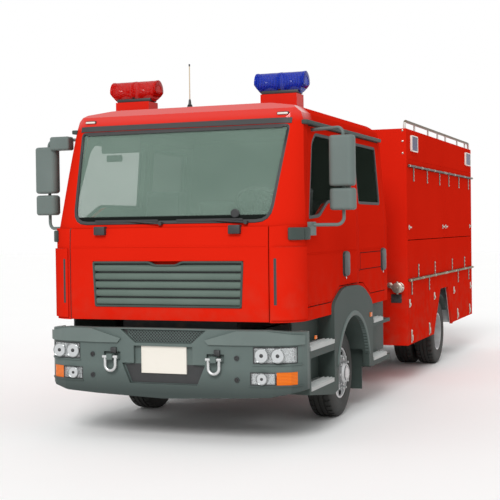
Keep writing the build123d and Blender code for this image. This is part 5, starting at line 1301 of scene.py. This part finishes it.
def blown(piece):
    """Fill a pad: a fine even mesh swells as cloth under pressure, each point held to a short way."""
    apply(piece, "REMESH", mode="VOXEL", voxel_size=VOXEL)
    starts = [vertex.co.copy() for vertex in piece.data.vertices]
    alone(piece)
    cloth = piece.modifiers.new("filling", "CLOTH")
    cloth.settings.use_pressure = True
    cloth.settings.uniform_pressure_force = 4.0
    cloth.settings.effector_weights.gravity = 0.0
    cloth.settings.quality = 5
    for number in range(1, SIM_FRAMES + 1):
        bpy.context.scene.frame_set(number)
    bpy.ops.object.modifier_apply(modifier=cloth.name)
    bpy.context.scene.frame_set(1)
    for vertex, start in zip(piece.data.vertices, starts):
        way = vertex.co - start
        if way.length > SWELL_CAP:
            vertex.co = start + way.normalized() * SWELL_CAP
    apply(piece, "SUBSURF", levels=1, render_levels=1)
    smooth(piece, 180)
    return piece


def pad(name, profile, low_x, high_x):
    """Pad between two sides, from its outline as stations and heights, a little under its full size."""
    middle = Vector((0, sum(y for y, z in profile), sum(z for y, z in profile))) / len(profile)
    corners = []
    for y, z in profile:
        inward = (middle - Vector((0, y, z))).normalized() * PAD_INSET
        corners.append(at(low_x + PAD_INSET, y + inward.y, z + inward.z))
    return blown(thickened(blank(name, corners), (high_x - low_x - 2 * PAD_INSET, 0, 0), 0.030, 4))


def piping(source, x):
    """Cord sewn round a pad where an upright plane meets its surface."""
    piece = copied("cord", source)
    with editing(piece, "VERT"):
        bpy.ops.mesh.bisect(plane_co=(x, 0, 0), plane_no=(1, 0, 0))
        bpy.ops.mesh.select_all(action="INVERT")
        bpy.ops.mesh.delete(type="VERT")
    alone(piece)
    bpy.ops.object.convert(target="CURVE")
    piece = bpy.context.object
    piece.data.bevel_depth = PIPING_RADIUS
    piece.data.bevel_resolution = 0
    bpy.ops.object.convert(target="MESH")
    return named("cord")


front_cushion = pad("front_cushion_left", CUSHION, 0.388, 0.862)
front_back = pad("front_back_left", BACK_REST, 0.392, 0.858)
pads = [front_cushion, front_back, mirrored("front_cushion_right", front_cushion),
        mirrored("front_back_right", front_back)]
bench = {kind: pad(f"bench_{kind}", profile, -0.890, -0.302)
         for kind, profile in (("cushion", BENCH_CUSHION), ("back", BENCH_BACK))}
for number in range(3):
    for kind, source in bench.items():
        pads.append(copied(f"bench_{kind}_{number + 1}", source, (BENCH_PITCH * number, 0, 0)))
for source in bench.values():
    bpy.data.objects.remove(source)
cords = []
for piece in pads:
    reach = [corner[0] for corner in piece.bound_box]
    cords += [piping(piece, x) for x in (min(reach) + PIPING_INSET, max(reach) - PIPING_INSET)]
fit(black_plastic, "seat_cloth", joined("seat_piping", cords))
for piece in pads:
    fit(seat_cloth, "seat_cloth", piece)

# Plastic plinths and back shells under both front seats and along the bench.
bases = []
for low, high, shift in ((0.40, 0.85, 0.0), (-0.85, -0.40, 0.0), (-0.88, 0.88, BENCH_STEP)):
    back = 1.345 + shift
    bases.append(slab("plinth", at(low, 0.955 + shift, 1.041), at(high, back, 1.400), 0.025, 3))
    bases.append(slab("shell", at(low + 0.03, back, 1.20), at(high - 0.03, back + 0.03, 1.42), 0.010))
fit(black_plastic, "black_plastic", joined("seat_bases", bases))
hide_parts("seats")
